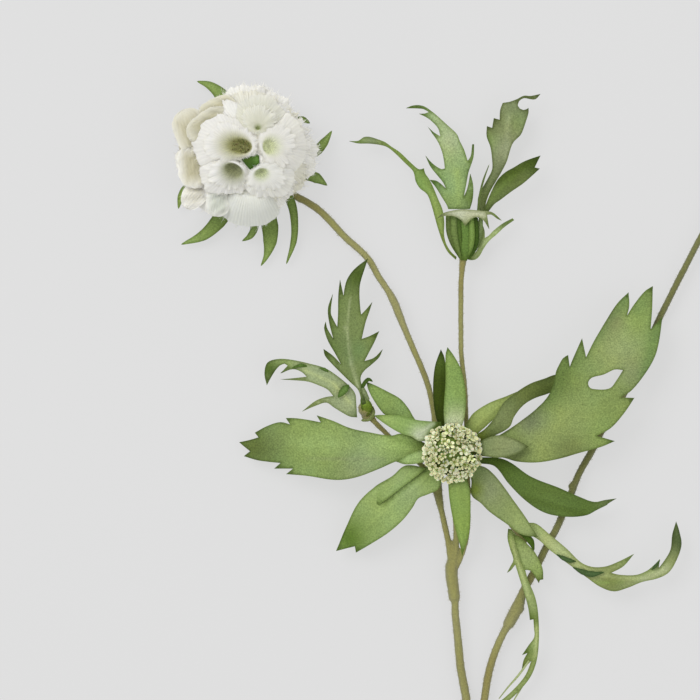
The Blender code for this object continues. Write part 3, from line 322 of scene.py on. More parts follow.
def fibre(shell, points, radius, dye_and_shade):
    """One fine thread through a few places, three-sided and thinning to its end."""
    verts = []
    count = len(points)
    for i, point in enumerate(points):
        ahead = (points[min(i + 1, count - 1)] - points[max(i - 1, 0)]).normalized()
        side = ahead.orthogonal().normalized()
        over = ahead.cross(side)
        wide = radius * (1 - 0.75 * i / (count - 1))
        for k in range(3):
            angle = 2 * math.pi * k / 3
            verts.append(point + (side * math.cos(angle) + over * math.sin(angle)) * wide)
    faces = [(2, 1, 0), (3 * count - 3, 3 * count - 2, 3 * count - 1)]
    for i in range(count - 1):
        for k in range(3):
            a = 3 * i + k
            b = 3 * i + (k + 1) % 3
            faces.append((a, b, b + 3, a + 3))
    shell.add(verts, faces, dye_and_shade)


# Cloth blades

def inside(points, outline):
    """Which points lie inside a closed outline."""
    hit = np.zeros(len(points), dtype=bool)
    x = points[:, 0]
    y = points[:, 1]
    for (x1, y1), (x2, y2) in zip(outline, outline[1:] + outline[:1]):
        if y1 == y2:
            continue
        crosses = (y1 > y) != (y2 > y)
        hit ^= crosses & (x < (x2 - x1) * (y - y1) / (y2 - y1) + x1)
    return hit


def edge_distance(points, outline):
    """Distance from each point to a closed outline."""
    best = np.full(len(points), 1e9)
    for start, end in zip(outline, outline[1:] + outline[:1]):
        a = np.array(start)
        span = np.array(end) - a
        t = np.clip((points - a) @ span / max(span @ span, 1e-9), 0, 1)
        best = np.minimum(best, np.linalg.norm(points - a - t[:, None] * span, axis=1))
    return best


def rib_place(points, rib):
    """Height of the midrib beside each point, the distance to its left side and the way run along it."""
    best = np.full(len(points), 1e9)
    height = np.zeros(len(points))
    side = np.zeros(len(points))
    run = np.zeros(len(points))
    start = 0.0
    for (x1, y1, z1), (x2, y2, z2) in zip(rib, rib[1:]):
        span = np.array((x2 - x1, y2 - y1))
        length = np.linalg.norm(span)
        rel = points - np.array((x1, y1))
        t = np.clip(rel @ span / max(length ** 2, 1e-9), 0, 1)
        off = rel - t[:, None] * span
        away = np.linalg.norm(off, axis=1)
        nearer = away < best
        left = np.sign(span[0] * rel[:, 1] - span[1] * rel[:, 0])
        best = np.where(nearer, away, best)
        height = np.where(nearer, z1 + (z2 - z1) * t, height)
        side = np.where(nearer, away * left, side)
        run = np.where(nearer, start + length * t, run)
        start += length
    return height, side, run


def dyed(flat, tone, patches, strokes):
    """A tone with patches (x, y, reach, tone, strength) and strokes (two ends, width, tone, strength); some
    of them are painted shadows, painted shade or painted highlights.
    """
    colour = np.tile(tone, (len(flat), 1))
    for x, y, reach, patch_tone, strength in patches:
        away = np.hypot(flat[:, 0] - x, flat[:, 1] - y)
        weight = (strength * np.exp(-(away / reach) ** 2))[:, None]
        colour = colour * (1 - weight) + patch_tone * weight
    for x1, y1, x2, y2, width, stroke_tone, strength in strokes:
        away = edge_distance(flat, [(x1, y1), (x2, y2)])
        weight = (strength * np.exp(-(away / width) ** 2))[:, None]
        colour = colour * (1 - weight) + stroke_tone * weight
    return colour


def tooth_tips(outline, tone, cut):
    """Darker tone at the sharp tips of a cut blade's teeth."""
    if not cut:
        return []
    pts = [Vector(p) for p in outline]
    area = sum(a.x * b.y - b.x * a.y for a, b in zip(pts, pts[1:] + pts[:1]))
    tips = []
    for i, p in enumerate(pts):
        before = p - pts[i - 1]
        after = pts[(i + 1) % len(pts)] - p
        turn = before.x * after.y - before.y * after.x
        if turn * area > 0 and math.degrees(before.angle(after, 0.0)) > TOOTH_ANGLE:
            tips.append((p.x, p.y, 2.6, tone * TOOTH_TINT, 0.7))
    return tips


def blade(shell, outline, rib, tone, cup=0.0, tilt=0.0, wave=0.0, wave_length=18.0, holes=(), patches=(),
          strokes=(), under=UNDER, step=CLOTH_STEP, crease=0.3, ripple=0.18, smooth=True):
    """Cloth leaf seen from above: a cut outline, laid over a midrib of (x, y, z).

    cup lifts or drops the sides, tilt rolls the blade, wave ripples its edges and crease raises the midrib.
    """
    fine_rib = [tuple(p) for p, _ in smooth_path(rib, 2.0)]
    edge = soften_outline(outline, step * 0.75) if smooth else outline
    rims = [soften_outline(hole, step * 0.75) for hole in holes]
    loops = [edge] + rims
    flat, tris = cut_sheet(edge, rims, fine_rib, step)
    height, side, run = rib_place(flat, fine_rib)
    away = np.min([edge_distance(flat, loop) for loop in loops], axis=0)
    reach = np.minimum(1.0, np.abs(side) / 6.0)
    height = height + cup * side ** 2 + tilt * side
    height += np.sign(side) * wave * np.sin(2 * math.pi * run / wave_length) * reach
    height += ripple * np.sin(run * 0.55 + np.sign(side) * 1.3) * np.exp(-away / 2.5) * reach
    height += crease * np.exp(-(side / 0.8) ** 2) * np.clip(away / 2, 0, 1)
    verts, faces = thicken(np.column_stack([flat, height]), tris, CLOTH)
    top = dyed(flat, tone, list(patches) + tooth_tips(outline, tone, smooth), strokes)
    back = dyed(flat, under, (), ())
    shell.add(verts, faces, np.vstack([top, back]), twice(side), twice(run), twice(away))


def cut_sheet(edge, rims, fine_rib, step):
    """Triangles of an even mesh inside an edge and outside its holes, with extra points along the midrib."""
    spots = []
    links = []
    for loop in [edge] + rims:
        first = len(spots)
        spots += [Vector(p) for p in loop]
        links += [(first + i, first + (i + 1) % len(loop)) for i in range(len(loop))]
    rib_spots = []
    for (x1, y1, _), (x2, y2, _) in zip(fine_rib, fine_rib[1:]):
        along = Vector((x2 - x1, y2 - y1))
        over = Vector((-along.y, along.x)).normalized()
        pieces = max(1, round(along.length / step))
        for k in range(pieces):
            centre = Vector((x1, y1)) + along * (k / pieces)
            rib_spots += [centre + over * offset for offset in (-RIB_WIDTH, 0.0, RIB_WIDTH)]
    low = np.min(np.array(edge), axis=0)
    high = np.max(np.array(edge), axis=0)
    xs = np.arange(low[0], high[0], step)
    ys = np.arange(low[1], high[1], step * 0.87)
    grid = np.array([(x + (step / 2 if row % 2 else 0), y) for row, y in enumerate(ys) for x in xs])
    rib_array = np.array([tuple(p) for p in rib_spots])
    near_rib = np.full(len(grid), False)
    for spot in rib_array:
        near_rib |= np.hypot(grid[:, 0] - spot[0], grid[:, 1] - spot[1]) < step * 0.6
    extra = np.vstack([rib_array, grid[~near_rib]])
    fits = inside(extra, edge) & (edge_distance(extra, edge) > step * 0.42)
    for rim in rims:
        fits &= ~inside(extra, rim) & (edge_distance(extra, rim) > step * 0.42)
    spots += [Vector(p) for p in extra[fits]]
    flat, _, tris, _, _, _ = delaunay_2d_cdt(spots, links, [], 1, 0.0005)
    flat_array = np.array([tuple(p) for p in flat])
    middles = flat_array[np.array(tris)].mean(axis=1)
    in_hole = np.full(len(tris), False)
    for rim in rims:
        in_hole |= inside(middles, rim)
    keep = []
    for tri, cut in zip(tris, in_hole):
        a, b, c = (flat[i] for i in tri)
        area = (b.x - a.x) * (c.y - a.y) - (b.y - a.y) * (c.x - a.x)
        if cut or abs(area) < 1e-5:
            continue
        keep.append(tuple(tri) if area > 0 else (tri[0], tri[2], tri[1]))
    return flat_array, keep


def strap(shell, path, tone, step=CLOTH_STEP, **form):
    """Narrow cloth blade that follows (x, y, z, half width)."""
    line = smooth_path(path, step * 0.7)
    left = []
    right = []
    for i, (p, rest) in enumerate(line):
        ahead = line[min(i + 1, len(line) - 1)][0] - line[max(i - 1, 0)][0]
        side = Vector((-ahead.y, ahead.x)).normalized() * max(rest[0], 0.12)
        left.append((p.x + side.x, p.y + side.y))
        right.append((p.x - side.x, p.y - side.y))
    tip = line[-1][0]
    outline = left[:-1] + [(tip.x, tip.y)] + list(reversed(right[:-1]))
    blade(shell, outline, [p[:3] for p in path], tone, step=step, smooth=False, **form)


# Shader nodes

def add(tree, kind, inputs=None, **settings):
    """Add a node, set it up and feed its inputs with plain values or with other nodes' outputs."""
    node = tree.nodes.new("ShaderNode" + kind)
    for name, value in settings.items():
        setattr(node, name, value)
    for name, value in (inputs or {}).items():
        if isinstance(value, bpy.types.NodeSocket):
            tree.links.new(value, node.inputs[name])
        else:
            node.inputs[name].default_value = value
    return node


def maths(tree, operation, first, second=0.0, clamp=False):
    return add(tree, "Math", {0: first, 1: second}, operation=operation, use_clamp=clamp).outputs[0]


def scaled(tree, value, factor, plus):
    """A value times a factor, plus a number."""
    return maths(tree, "ADD", maths(tree, "MULTIPLY", value, factor), plus)


def blend_colours(tree, factor, first, second, mode="MIX"):
    node = add(tree, "Mix", data_type="RGBA", blend_type=mode)
    for index, value in ((0, factor), (6, first), (7, second)):
        if isinstance(value, bpy.types.NodeSocket):
            tree.links.new(value, node.inputs[index])
        else:
            node.inputs[index].default_value = value
    return node.outputs[2]


def tinted(tree, colour, red, green, blue):
    """Colour times a fixed tint."""
    return blend_colours(tree, 1.0, colour, (red, green, blue, 1.0), "MULTIPLY")


def mark(tree, name, output="Fac"):
    return add(tree, "Attribute", attribute_name=name).outputs[output]


def effect(name, inputs, outputs):
    """Empty shader node group with named number sockets, and the values that its inputs have at first."""
    group = bpy.data.node_groups.new(name, "ShaderNodeTree")
    for label, value in inputs.items():
        socket = group.interface.new_socket(label, in_out="INPUT", socket_type="NodeSocketFloat")
        socket.default_value = value
    for label in outputs:
        group.interface.new_socket(label, in_out="OUTPUT", socket_type="NodeSocketFloat")
    return group, group.nodes.new("NodeGroupInput"), group.nodes.new("NodeGroupOutput")


def use(tree, group, inputs):
    return add(tree, "Group", inputs, node_tree=group)


def cloth_grain_effect():
    """Woven grain, airbrushed blotches and fine speckle of dyed cloth, by place on the object in metres."""
    group, given, out = effect("cloth_grain", {"Speckle": 0.2, "Blotch": 0.2}, ("Shade", "Warmth", "Height"))
    place_at = add(group, "TexCoord").outputs["Object"]
    speckle = add(group, "TexNoise", {"Vector": place_at, "Scale": 1900.0, "Detail": 1.0, "Roughness": 0.6})
    blotch = add(group, "TexNoise", {"Vector": place_at, "Scale": 75.0, "Detail": 3.0})
    tint = add(group, "TexNoise", {"Vector": place_at, "Scale": 90.0, "Detail": 2.0})
    threads = {"Vector": place_at, "Scale": 560.0, "Distortion": 1.5, "Detail": 1.0}
    warp = add(group, "TexWave", threads, bands_direction="X")
    weft = add(group, "TexWave", threads, bands_direction="Y")
    fine, broad = (
        maths(group, "MULTIPLY", maths(group, "SUBTRACT", noise.outputs[0], 0.5), given.outputs[amount])
        for noise, amount in ((speckle, "Speckle"), (blotch, "Blotch")))
    shade = maths(group, "ADD", maths(group, "ADD", fine, broad), 1.0)
    weave = maths(group, "MULTIPLY", warp.outputs[1], weft.outputs[1])
    height = scaled(group, weave, 0.6, speckle.outputs[0])
    group.links.new(shade, out.inputs["Shade"])
    group.links.new(tint.outputs[0], out.inputs["Warmth"])
    group.links.new(height, out.inputs["Height"])
    return group


def leaf_vein_effect():
    """Masks of the midrib and of the side veins that leave it at a slant."""
    group, given, out = effect("leaf_veins", {"Side": 0.0, "Run": 0.0, "Spacing": 4.0}, ("Midrib", "Veins"))
    away = maths(group, "ABSOLUTE", given.outputs["Side"])
    close = maths(group, "DIVIDE", away, 0.75)
    midrib = maths(group, "SUBTRACT", 1.0, close, clamp=True)
    slant = maths(group, "SUBTRACT", given.outputs["Run"], maths(group, "MULTIPLY", away, 0.9))
    turn = maths(group, "MULTIPLY", maths(group, "DIVIDE", slant, given.outputs["Spacing"]), 2 * math.pi)
    crest = maths(group, "MULTIPLY", maths(group, "ADD", maths(group, "COSINE", turn), 1.0), 0.5)
    veins = maths(group, "POWER", crest, 14.0)
    group.links.new(midrib, out.inputs["Midrib"])
    group.links.new(veins, out.inputs["Veins"])
    return group


def cut_edge_effect():
    """Mask of the margin of a cut blade, one at its edge and none beyond a width in millimetres."""
    group, given, out = effect("cut_edge", {"Edge": 9.0, "Width": 1.0}, ("Mask",))
    share = maths(group, "DIVIDE", given.outputs["Edge"], given.outputs["Width"])
    mask = maths(group, "SUBTRACT", 1.0, share, clamp=True)
    group.links.new(mask, out.inputs["Mask"])
    return group


def pleat_streak_effect():
    """Fine threads that run the length of a pleated petal."""
    group, given, out = effect("pleat_streaks", {"Side": 0.0, "Run": 0.0}, ("Shade", "Height"))
    drawn_out = maths(group, "MULTIPLY", given.outputs["Run"], 0.12)
    lengthwise = add(group, "CombineXYZ", {"X": given.outputs["Side"], "Y": drawn_out})
    threads = add(group, "TexNoise", {"Vector": lengthwise.outputs[0], "Scale": 5.0, "Detail": 3.0})
    broad = add(group, "TexNoise", {"Vector": lengthwise.outputs[0], "Scale": 1.1, "Detail": 1.0})
    shade = scaled(group, threads.outputs[0], 0.14, maths(group, "MULTIPLY", broad.outputs[0], 0.10))
    group.links.new(maths(group, "ADD", shade, 0.88), out.inputs["Shade"])
    group.links.new(threads.outputs[0], out.inputs["Height"])
    return group


def new_material(name, roughness, **values):
    mat = bpy.data.materials.new(name)
    mat.use_nodes = True
    shader = mat.node_tree.nodes["Principled BSDF"]
    shader.inputs["Roughness"].default_value = roughness
    for label, value in values.items():
        shader.inputs[label.replace("_", " ")].default_value = value
    return mat, mat.node_tree, shader


def shaded(tree, colour, shade):
    """Colour times a brightness that varies over the surface."""
    grey = add(tree, "CombineColor", {0: shade, 1: shade, 2: shade}).outputs[0]
    return blend_colours(tree, 1.0, colour, grey, "MULTIPLY")


def dress(tree, shader, colour, rough, height, distance, strength):
    """Feed a material's colour, roughness and bump. distance is the height of the bump in metres."""
    tree.links.new(colour, shader.inputs["Base Color"])
    tree.links.new(rough, shader.inputs["Roughness"])
    bump = add(tree, "Bump", {"Height": height, "Distance": distance, "Strength": strength})
    tree.links.new(bump.outputs[0], shader.inputs["Normal"])


def leaf_cloth(name, roughness, vein_strength, midrib_strength, edge_darkness, speckle=1.15, blotch=0.36):
    """Dyed leaf cloth, with veins, darker cut edges, woven grain and a faint sheen."""
    mat, tree, shader = new_material(name, roughness, Sheen_Weight=0.04, Sheen_Roughness=0.5,
                                     Specular_IOR_Level=0.14)
    grain = use(tree, GRAIN, {"Speckle": speckle, "Blotch": blotch})
    veins = use(tree, VEINS, {"Side": mark(tree, "side"), "Run": mark(tree, "run"), "Spacing": VEIN_SPACING})
    cut = use(tree, CUT_EDGE, {"Edge": mark(tree, "edge"), "Width": 0.95})
    colour = mark(tree, "dye_and_shade", "Color")
    warm = tinted(tree, colour, 1.07, 1.01, 0.84)
    cool = tinted(tree, colour, 0.94, 0.99, 1.12)
    colour = blend_colours(tree, grain.outputs["Warmth"], cool, warm)
    colour = shaded(tree, colour, grain.outputs["Shade"])
    vein_mask = maths(tree, "MULTIPLY", veins.outputs["Veins"], vein_strength)
    rib_mask = maths(tree, "MULTIPLY", veins.outputs["Midrib"], midrib_strength)
    lines = maths(tree, "MAXIMUM", vein_mask, rib_mask)
    colour = blend_colours(tree, lines, colour, tinted(tree, colour, 1.45, 1.38, 1.4))
    margin = maths(tree, "MULTIPLY", cut.outputs[0], edge_darkness)
    colour = blend_colours(tree, margin, colour, tinted(tree, colour, 0.48, 0.52, 0.34))
    dress(tree, shader, colour, scaled(tree, grain.outputs["Height"], 0.12, roughness - 0.09),
          scaled(tree, lines, 2.0, grain.outputs["Height"]), 0.00008, 0.8)
    return mat


def petal_cloth():
    """Sheer white petal cloth that lets some light through."""
    mat, tree, shader = new_material("petal_cloth", 0.62, Sheen_Weight=0.2, Sheen_Roughness=0.4,
                                     Subsurface_Weight=0.35, Subsurface_Scale=0.002,
                                     Subsurface_Radius=(1.0, 0.95, 0.75), Specular_IOR_Level=0.25)
    streaks = use(tree, STREAKS, {"Side": mark(tree, "side"), "Run": mark(tree, "run")})
    grain = use(tree, GRAIN, {"Speckle": 0.04, "Blotch": 0.05})
    colour = shaded(tree, mark(tree, "dye_and_shade", "Color"), streaks.outputs["Shade"])
    colour = shaded(tree, colour, grain.outputs["Shade"])
    colour = blend_colours(tree, grain.outputs["Warmth"], colour, tinted(tree, colour, 0.98, 0.98, 0.91))
    height = streaks.outputs["Height"]
    dress(tree, shader, colour, scaled(tree, height, 0.15, 0.52), height, 0.0001, 0.7)
    return mat


def floret_flesh():
    """Waxy little florets, cream lobes on green cups."""
    mat, tree, shader = new_material("floret_flesh", 0.5, Specular_IOR_Level=0.35, Subsurface_Weight=0.15,
                                     Subsurface_Scale=0.0008)
    grain = use(tree, GRAIN, {"Speckle": 0.5, "Blotch": 0.3})
    colour = shaded(tree, mark(tree, "dye_and_shade", "Color"), grain.outputs["Shade"])
    height = grain.outputs["Height"]
    dress(tree, shader, colour, scaled(tree, height, 0.2, 0.4), height, 0.00008, 0.7)
    return mat


def stem_flock():
    """Olive flocked stem with brownish stretches and fine pale fuzz, darker towards the right, and with
    painted shade on its sides.
    """
    mat, tree, shader = new_material("stem_flock", 0.85, Sheen_Weight=0.35, Sheen_Roughness=0.6,
                                     Specular_IOR_Level=0.2)
    place_at = add(tree, "TexCoord").outputs["Object"]
    broad = add(tree, "TexNoise", {"Vector": place_at, "Scale": 38.0, "Detail": 2.0})
    tones = add(tree, "ValToRGB", {"Fac": broad.outputs[0]})
    ramp = tones.color_ramp
    ramp.elements[0].position = 0.32
    ramp.elements[1].position = 0.68
    ramp.elements.new(0.5)
    for stop, shade in zip(ramp.elements, (paint(146, 143, 90), paint(141, 139, 80), paint(133, 126, 68))):
        stop.color = (*shade, 1.0)
    grain = use(tree, GRAIN, {"Speckle": 0.7, "Blotch": 0.3})
    flock = add(tree, "TexNoise", {"Vector": place_at, "Scale": 3200.0, "Detail": 2.0}).outputs[0]
    colour = shaded(tree, tones.outputs[0], grain.outputs["Shade"])
    # Painted shade: the stems' sides, facing away from straight up, are darkened.
    facing = add(tree, "SeparateXYZ", {0: add(tree, "TexCoord").outputs["Normal"]}).outputs[2]
    painted_flank_shade = maths(tree, "ADD", maths(tree, "MULTIPLY", facing, 0.5, clamp=True), 0.54)
    colour = shaded(tree, colour, painted_flank_shade)
    aside = add(tree, "SeparateXYZ", {0: place_at}).outputs[0]
    right = maths(tree, "MULTIPLY", maths(tree, "SUBTRACT", aside, 0.01), 40.0, clamp=True)
    colour = blend_colours(tree, right, colour, tinted(tree, colour, 0.54, 0.58, 0.5))
    dress(tree, shader, colour, scaled(tree, flock, 0.2, 0.72), flock, 0.00016, 0.9)
    return mat


def stem_hair():
    """Hairs of the stems, coloured by their own colour attribute with small changes along them."""
    mat, tree, shader = new_material("stem_hair", 0.8, Sheen_Weight=0.2, Specular_IOR_Level=0.2)
    grain = use(tree, GRAIN, {"Speckle": 0.3, "Blotch": 0.2})
    colour = shaded(tree, mark(tree, "dye_and_shade", "Color"), grain.outputs["Shade"])
    tree.links.new(colour, shader.inputs["Base Color"])
    return mat


GRAIN = cloth_grain_effect()
VEINS = leaf_vein_effect()
CUT_EDGE = cut_edge_effect()
STREAKS = pleat_streak_effect()
LEAF_CLOTHS = {
    "leaf_green": leaf_cloth("leaf_green_cloth", 0.74, 0.16, 0.08, 0.9),
    "leaf_pale": leaf_cloth("leaf_pale_cloth", 0.76, 0.12, 0.25, 0.75, speckle=0.805, blotch=0.27),
    "leaf_dark": leaf_cloth("leaf_dark_cloth", 0.72, 0.08, 0.12, 0.60, speckle=1.035),
    "leaf_grey": leaf_cloth("leaf_grey_cloth", 0.78, 0.14, 0.20, 0.9, speckle=0.92, blotch=0.234)}
PETAL_CLOTH = petal_cloth()
FLORET_FLESH = floret_flesh()
STEM_FLOCK = stem_flock()
STEM_HAIR = stem_hair()


# Stations of the stems: x, y, z and radius

MAIN_STEM = [(46, FOOT_Y, 2.1, 2.1), (46.6, -262, 2.2, 2.1), (46.2, -222, 2.35, 2.05), (45.6, -180, 2.5, 2.0),
             (45.2, -163, 2.7, 2.0), (45.1, -158, 2.8, 2.15), (45, -149, 2.9, 2.2), (44.4, -145, 3.0, 1.65),
             (41.8, -125, 3.4, 1.6), (40, -115, 3.6, 1.55), (39, -105, 3.9, 1.5), (38, -95, 4.2, 1.4),
             (37.9, -91, 4.3, 1.35), (37.7, -89.6, 4.3, 2.1), (36.6, -78, 4.6, 2.35), (38.3, -73.5, 4.8, 1.2)]
BLOOM_STEM = [(36.9, -80, 4.6, 1.5), (35.6, -70, 4.7, 1.15), (33, -58, 4.8, 1.1), (31.4, -50, 4.9, 1.9),
              (31, -46.5, 4.9, 2.0), (30.7, -41, 5.0, 1.2), (30.5, -25, 5.2, 1.1), (28.5, -14, 5.3, 1.1),
              (26, -7, 5.3, 1.15), (23, 0, 5.3, 1.15), (20, 7, 5.2, 1.2), (17.6, 13, 5.2, 1.5),
              (15.6, 18, 5.1, 1.5), (13.6, 21.5, 5.0, 1.2), (10, 27, 4.9, 1.25), (6.5, 33, 4.7, 1.25),
              (-2, 41, 4.3, 1.3), (-9, 48.5, 3.8, 1.35), (-14, 52.5, 3.5, 1.35), (-20, 55.8, 3.2, 1.35),
              (-25, 59.4, 3.2, 1.35), (-29.9, 63.2, 3.3, 1.3)]
UPPER_STEM = [(37.4, -79.5, 4.6, 1.3), (40.3, -74, 4.8, 0.95), (42, -68, 4.9, 0.95), (42.7, -60, 5.0, 0.9),
              (42.4, -42, 5.0, 0.9), (41.8, -22, 5.0, 0.95), (41.3, -12, 5.0, 0.95), (40.2, -2, 5.0, 0.95),
              (40, 10, 5.1, 0.95), (40, 20, 5.4, 1.0), (40.2, 27, 5.9, 1.0), (40.6, 31.5, 6.2, 1.25),
              (40.8, 33.1, 6.4, 1.6)]
HEAD_STALK = [(38.0, -77, 4.6, 1.3), (38.3, -66, 5.6, 1.1), (37.8, -56, 6.2, 1.1), (36.9, -47, 6.4, 1.2),
              (36.5, -41, 7.2, 1.5), (36.5, -38, 9.5, 2.0), (36.5, -37, 13.0, 2.4)]
LEFT_SHOOT_STEM = [(31, -46, 4.9, 1.2), (24, -40, 5.0, 0.9), (18, -35, 5.2, 0.9), (13, -30, 5.4, 0.9),
                   (9, -26, 5.9, 1.0), (6, -22.5, 6.6, 1.4)]
RIGHT_STEM = [(45.1, -153, 2.8, 1.5), (45.9, -145, 3.0, 1.5), (48.7, -125, 3.3, 1.45), (50, -117, 3.4, 1.45),
              (52, -110, 3.5, 1.4), (54.5, -104, 3.6, 1.4), (56.4, -100.4, 3.7, 1.4), (57.2, -99, 3.7, 2.1),
              (60.6, -92.6, 3.8, 2.3), (62, -88.5, 3.8, 1.6), (62.6, -87, 3.8, 1.5), (66, -81, 3.9, 1.4),
              (69, -75, 3.9, 1.4), (71.5, -70, 3.9, 1.4), (75, -63.5, 3.9, 1.35), (79, -54, 3.9, 1.35),
              (82.5, -45, 4.0, 1.3), (87, -37, 4.0, 1.3), (91, -29, 4.0, 1.3), (98.5, -16.5, 4.0, 1.25),
              (112, 12, 4.0, 1.2), (119.5, 27, 4.0, 1.2), (126, 39.6, 4.0, 1.15), (133.5, 54, 4.0, 1.1),
              (139.0, 65.7, 4.2, 1.2)]
RIGHT_NUB = [(60.8, -93, 3.8, 1.6), (62.6, -94.2, 3.9, 0.9)]
SWELLING = [(81, -48.6, 4.0, 1.6), (78.9, -49.6, 4.1, 0.8)]
LOWER_SHOOT_STEM = [(38, -58, 6.0, 1.0), (41, -52.5, 6.2, 0.9), (44.2, -50.6, 6.3, 0.9),
                    (50, -54.5, 6.5, 0.9), (56, -60.5, 6.6, 0.9), (61, -66.6, 6.7, 1.1)]
BLOOM_STEM_NUB = [(16.4, 15.6, 5.1, 1.3), (17.3, 16.7, 5.3, 0.8)]


# Outlines and midribs of the leaves

LEFT_LEAF = [(29.85, -35.4), (26, -33), (22, -31), (18, -30), (15, -30.7), (8, -29.8), (0, -28), (-6, -25.5),
             (-12, -23.5), (-10.5, -26), (-16, -25), (-20, -24.5), (-23, -24.5), (-21.5, -26.8), (-25, -26),
             (-30, -27.5), (-34.3, -29.8), (-33, -31.5), (-36, -32.4), (-40, -33.3), (-36, -36.5),
             (-38.3, -38.3), (-33, -39.8), (-25, -40.7), (-27.3, -42.7), (-20.5, -42.7), (-23, -44.7),
             (-15, -45.3), (-5, -46.7), (2, -45.8), (10, -42.8), (16, -40.2), (21, -38.8), (26, -38.6),
             (29.85, -38.3)]
LEFT_LEAF_RIB = [(29.6, -36.8, 13.4), (18, -35.5, 14.6), (2, -35.5, 14), (-14, -34.8, 11.5), (-27, -34.5, 8),
                 (-39, -34.5, 4)]
LOW_LEFT_LEAF = [(30.25, -39.9), (27, -42.2), (20, -41.5), (15, -45.5), (8, -50), (3, -55), (-1, -63),
                 (-5, -72.5), (1.8, -70.7), (2.2, -73), (8, -69.5), (14, -65.5), (19, -61), (22.5, -56.5),
                 (24.5, -53.3), (28, -51.8), (32, -49.5), (32.95, -43.1)]
LOW_LEFT_RIB = [(31.2, -41.8, 13.4), (26, -47, 14.2), (17, -54, 13.5), (8, -62, 11), (-1, -70, 6)]
LOW_LEFT_FOLD = [(27.2, -42.7), (22, -46.8), (16, -51.4), (10.4, -55.8), (7.6, -53.4), (8.3, -49.9),
                 (15.2, -45.4), (20.1, -41.6), (26.6, -42.2)]
LOW_LEFT_FOLD_RIB = [(26.5, -42.8, 14.9), (18, -49.8, 14.7), (13.4, -53.4, 13.9), (10.4, -55.8, 12.4)]
SMALL_LEFT = [(29.85, -36.6), (26, -35.8), (21, -37.4), (16.5, -40), (20, -41), (26, -40.3), (29.9, -39.2)]
SMALL_LEFT_RIB = [(29.7, -38, 17.3), (23, -38.6, 17.6), (16.5, -40, 16.2)]
UPPER_LEFT_LEAF = [(30.55, -33.95), (25.5, -30), (20, -26.8), (14, -23.9), (12, -22.8), (8.5, -18),
                   (6.5, -14), (6, -11.5), (9, -12.7), (14, -15.2), (18, -17.5), (21, -21), (23.7, -25.3),
                   (28, -28.6), (31.85, -31.75)]
UPPER_LEFT_RIB = [(31, -32.7, 13.4), (24, -27.5, 13.9), (16, -20.5, 13), (6, -11.5, 10)]
FOLDED_LEAF = [(30.55, -33.7), (27, -32.6), (24.5, -32.5), (22, -31), (18.5, -30), (13, -26.8), (8.5, -23.5),
               (12, -23.3), (18, -23.5), (23.5, -25), (27.8, -25.5), (32.6, -25.8), (32.85, -31)]
FOLDED_RIB = [(31.4, -32.2, 17.3), (26, -29, 18.2), (18, -26.5, 17), (8.5, -23.5, 13.2)]
TOP_DARK = [(33.4, -30.6), (31.8, -27), (30.4, -22), (29.8, -14), (30.5, -6), (32.7, 0.2), (34, -3),
            (34.8, -12), (35.8, -22), (36.3, -30.25)]
TOP_DARK_RIB = [(34.9, -30.2, 13.4), (33.2, -20, 14.6), (32.4, -10, 13.4), (32.7, 0.2, 10.5)]
TOP_LIGHT = [(34.8, -30.3), (33.8, -25.5), (33.6, -20), (34.2, -12), (34.3, -2), (35, 1), (37.5, -2.5),
             (39.8, -7), (41, -12), (41.5, -18), (41, -24), (40, -27.4), (38.8, -30.4)]
TOP_LIGHT_RIB = [(36.8, -30.2, 17.3), (37.3, -20, 18.4), (37, -10, 17.6), (35, 1, 14.6)]
UPPER_RIGHT_LEAF = [(40.15, -31.35), (40.8, -28.6), (42, -26), (44.5, -22.5), (50, -19), (56, -16.7),
                    (62.5, -14), (60, -18), (56, -21.5), (52, -24.5), (47, -29), (42.15, -33.15)]
UPPER_RIGHT_RIB = [(41.4, -32, 13.4), (47, -25.5, 14.2), (54, -20, 13.2), (62.5, -14, 9.5)]
ARCHED_STRAP = [(41.2, -32.2), (44, -30.8), (48, -28.6), (52, -24), (55, -19), (60, -15), (65, -12),
                (70, -10.3), (74.5, -8.8), (80, -9.5), (76.5, -13.2), (71.5, -15.6), (66, -17.5), (62, -20),
                (58.8, -24), (57.2, -27.6), (52, -30.6), (47, -32.6), (42.8, -34.3)]
ARCHED_RIB = [(42, -33.2, 15.9), (50, -29, 16.7), (56.2, -23, 16.2), (63, -16.5, 13), (71, -13, 9),
              (80, -9.8, 5.6)]
BIG_LEAF = [(43.15, -35.2), (47, -33.6), (52, -31.4), (57.3, -28.3), (62, -25), (67, -21), (71, -16.5),
            (73, -12), (74, -7.5), (75, -5.5), (76.5, -3), (78.3, -1.8), (78.9, -6), (80.3, -2.5),
            (83.3, 4.2), (84.7, -2.6), (88, 4), (92, 10.5), (96, 16.5), (100.3, 20.8), (100.5, 16),
            (99.6, 12.3), (102, 16), (106, 21), (109, 23), (108.7, 15), (108, 7.5), (110.2, 9.6), (112.3, 12),
            (111, 3), (109.5, -2.5), (106, -8.5), (101, -14.5), (97, -17), (102, -17.2), (98, -23),
            (93.5, -28), (88.5, -30.8), (95, -32.7), (90, -34.8), (82, -37), (75, -39), (67, -40.3),
            (60, -40), (55, -38.6), (49, -38), (43.15, -37.6)]
BIG_LEAF_HOLE = [(85.5, -11.4), (86.8, -9.9), (91, -8.8), (95, -7), (98, -7.2), (95.5, -11), (93, -13.8),
                 (87, -14), (85.7, -13.1)]
BIG_LEAF_RIB = [(43.6, -36.4, 13.4), (56, -34.5, 14.8), (70, -30, 16), (82, -20, 16.4), (92, -8, 15.5),
                (101, 6, 13), (108, 21, 8.5)]
SMALL_RIGHT = [(43.15, -34.9), (45, -34), (48, -32), (53, -30.5), (58, -31.5), (64, -34.5), (60, -37),
               (54, -38.5), (49, -38.2), (43.2, -37.4)]
SMALL_RIGHT_RIB = [(43.5, -35.9, 17.6), (53, -34.6, 19.6), (64, -34.5, 19)]
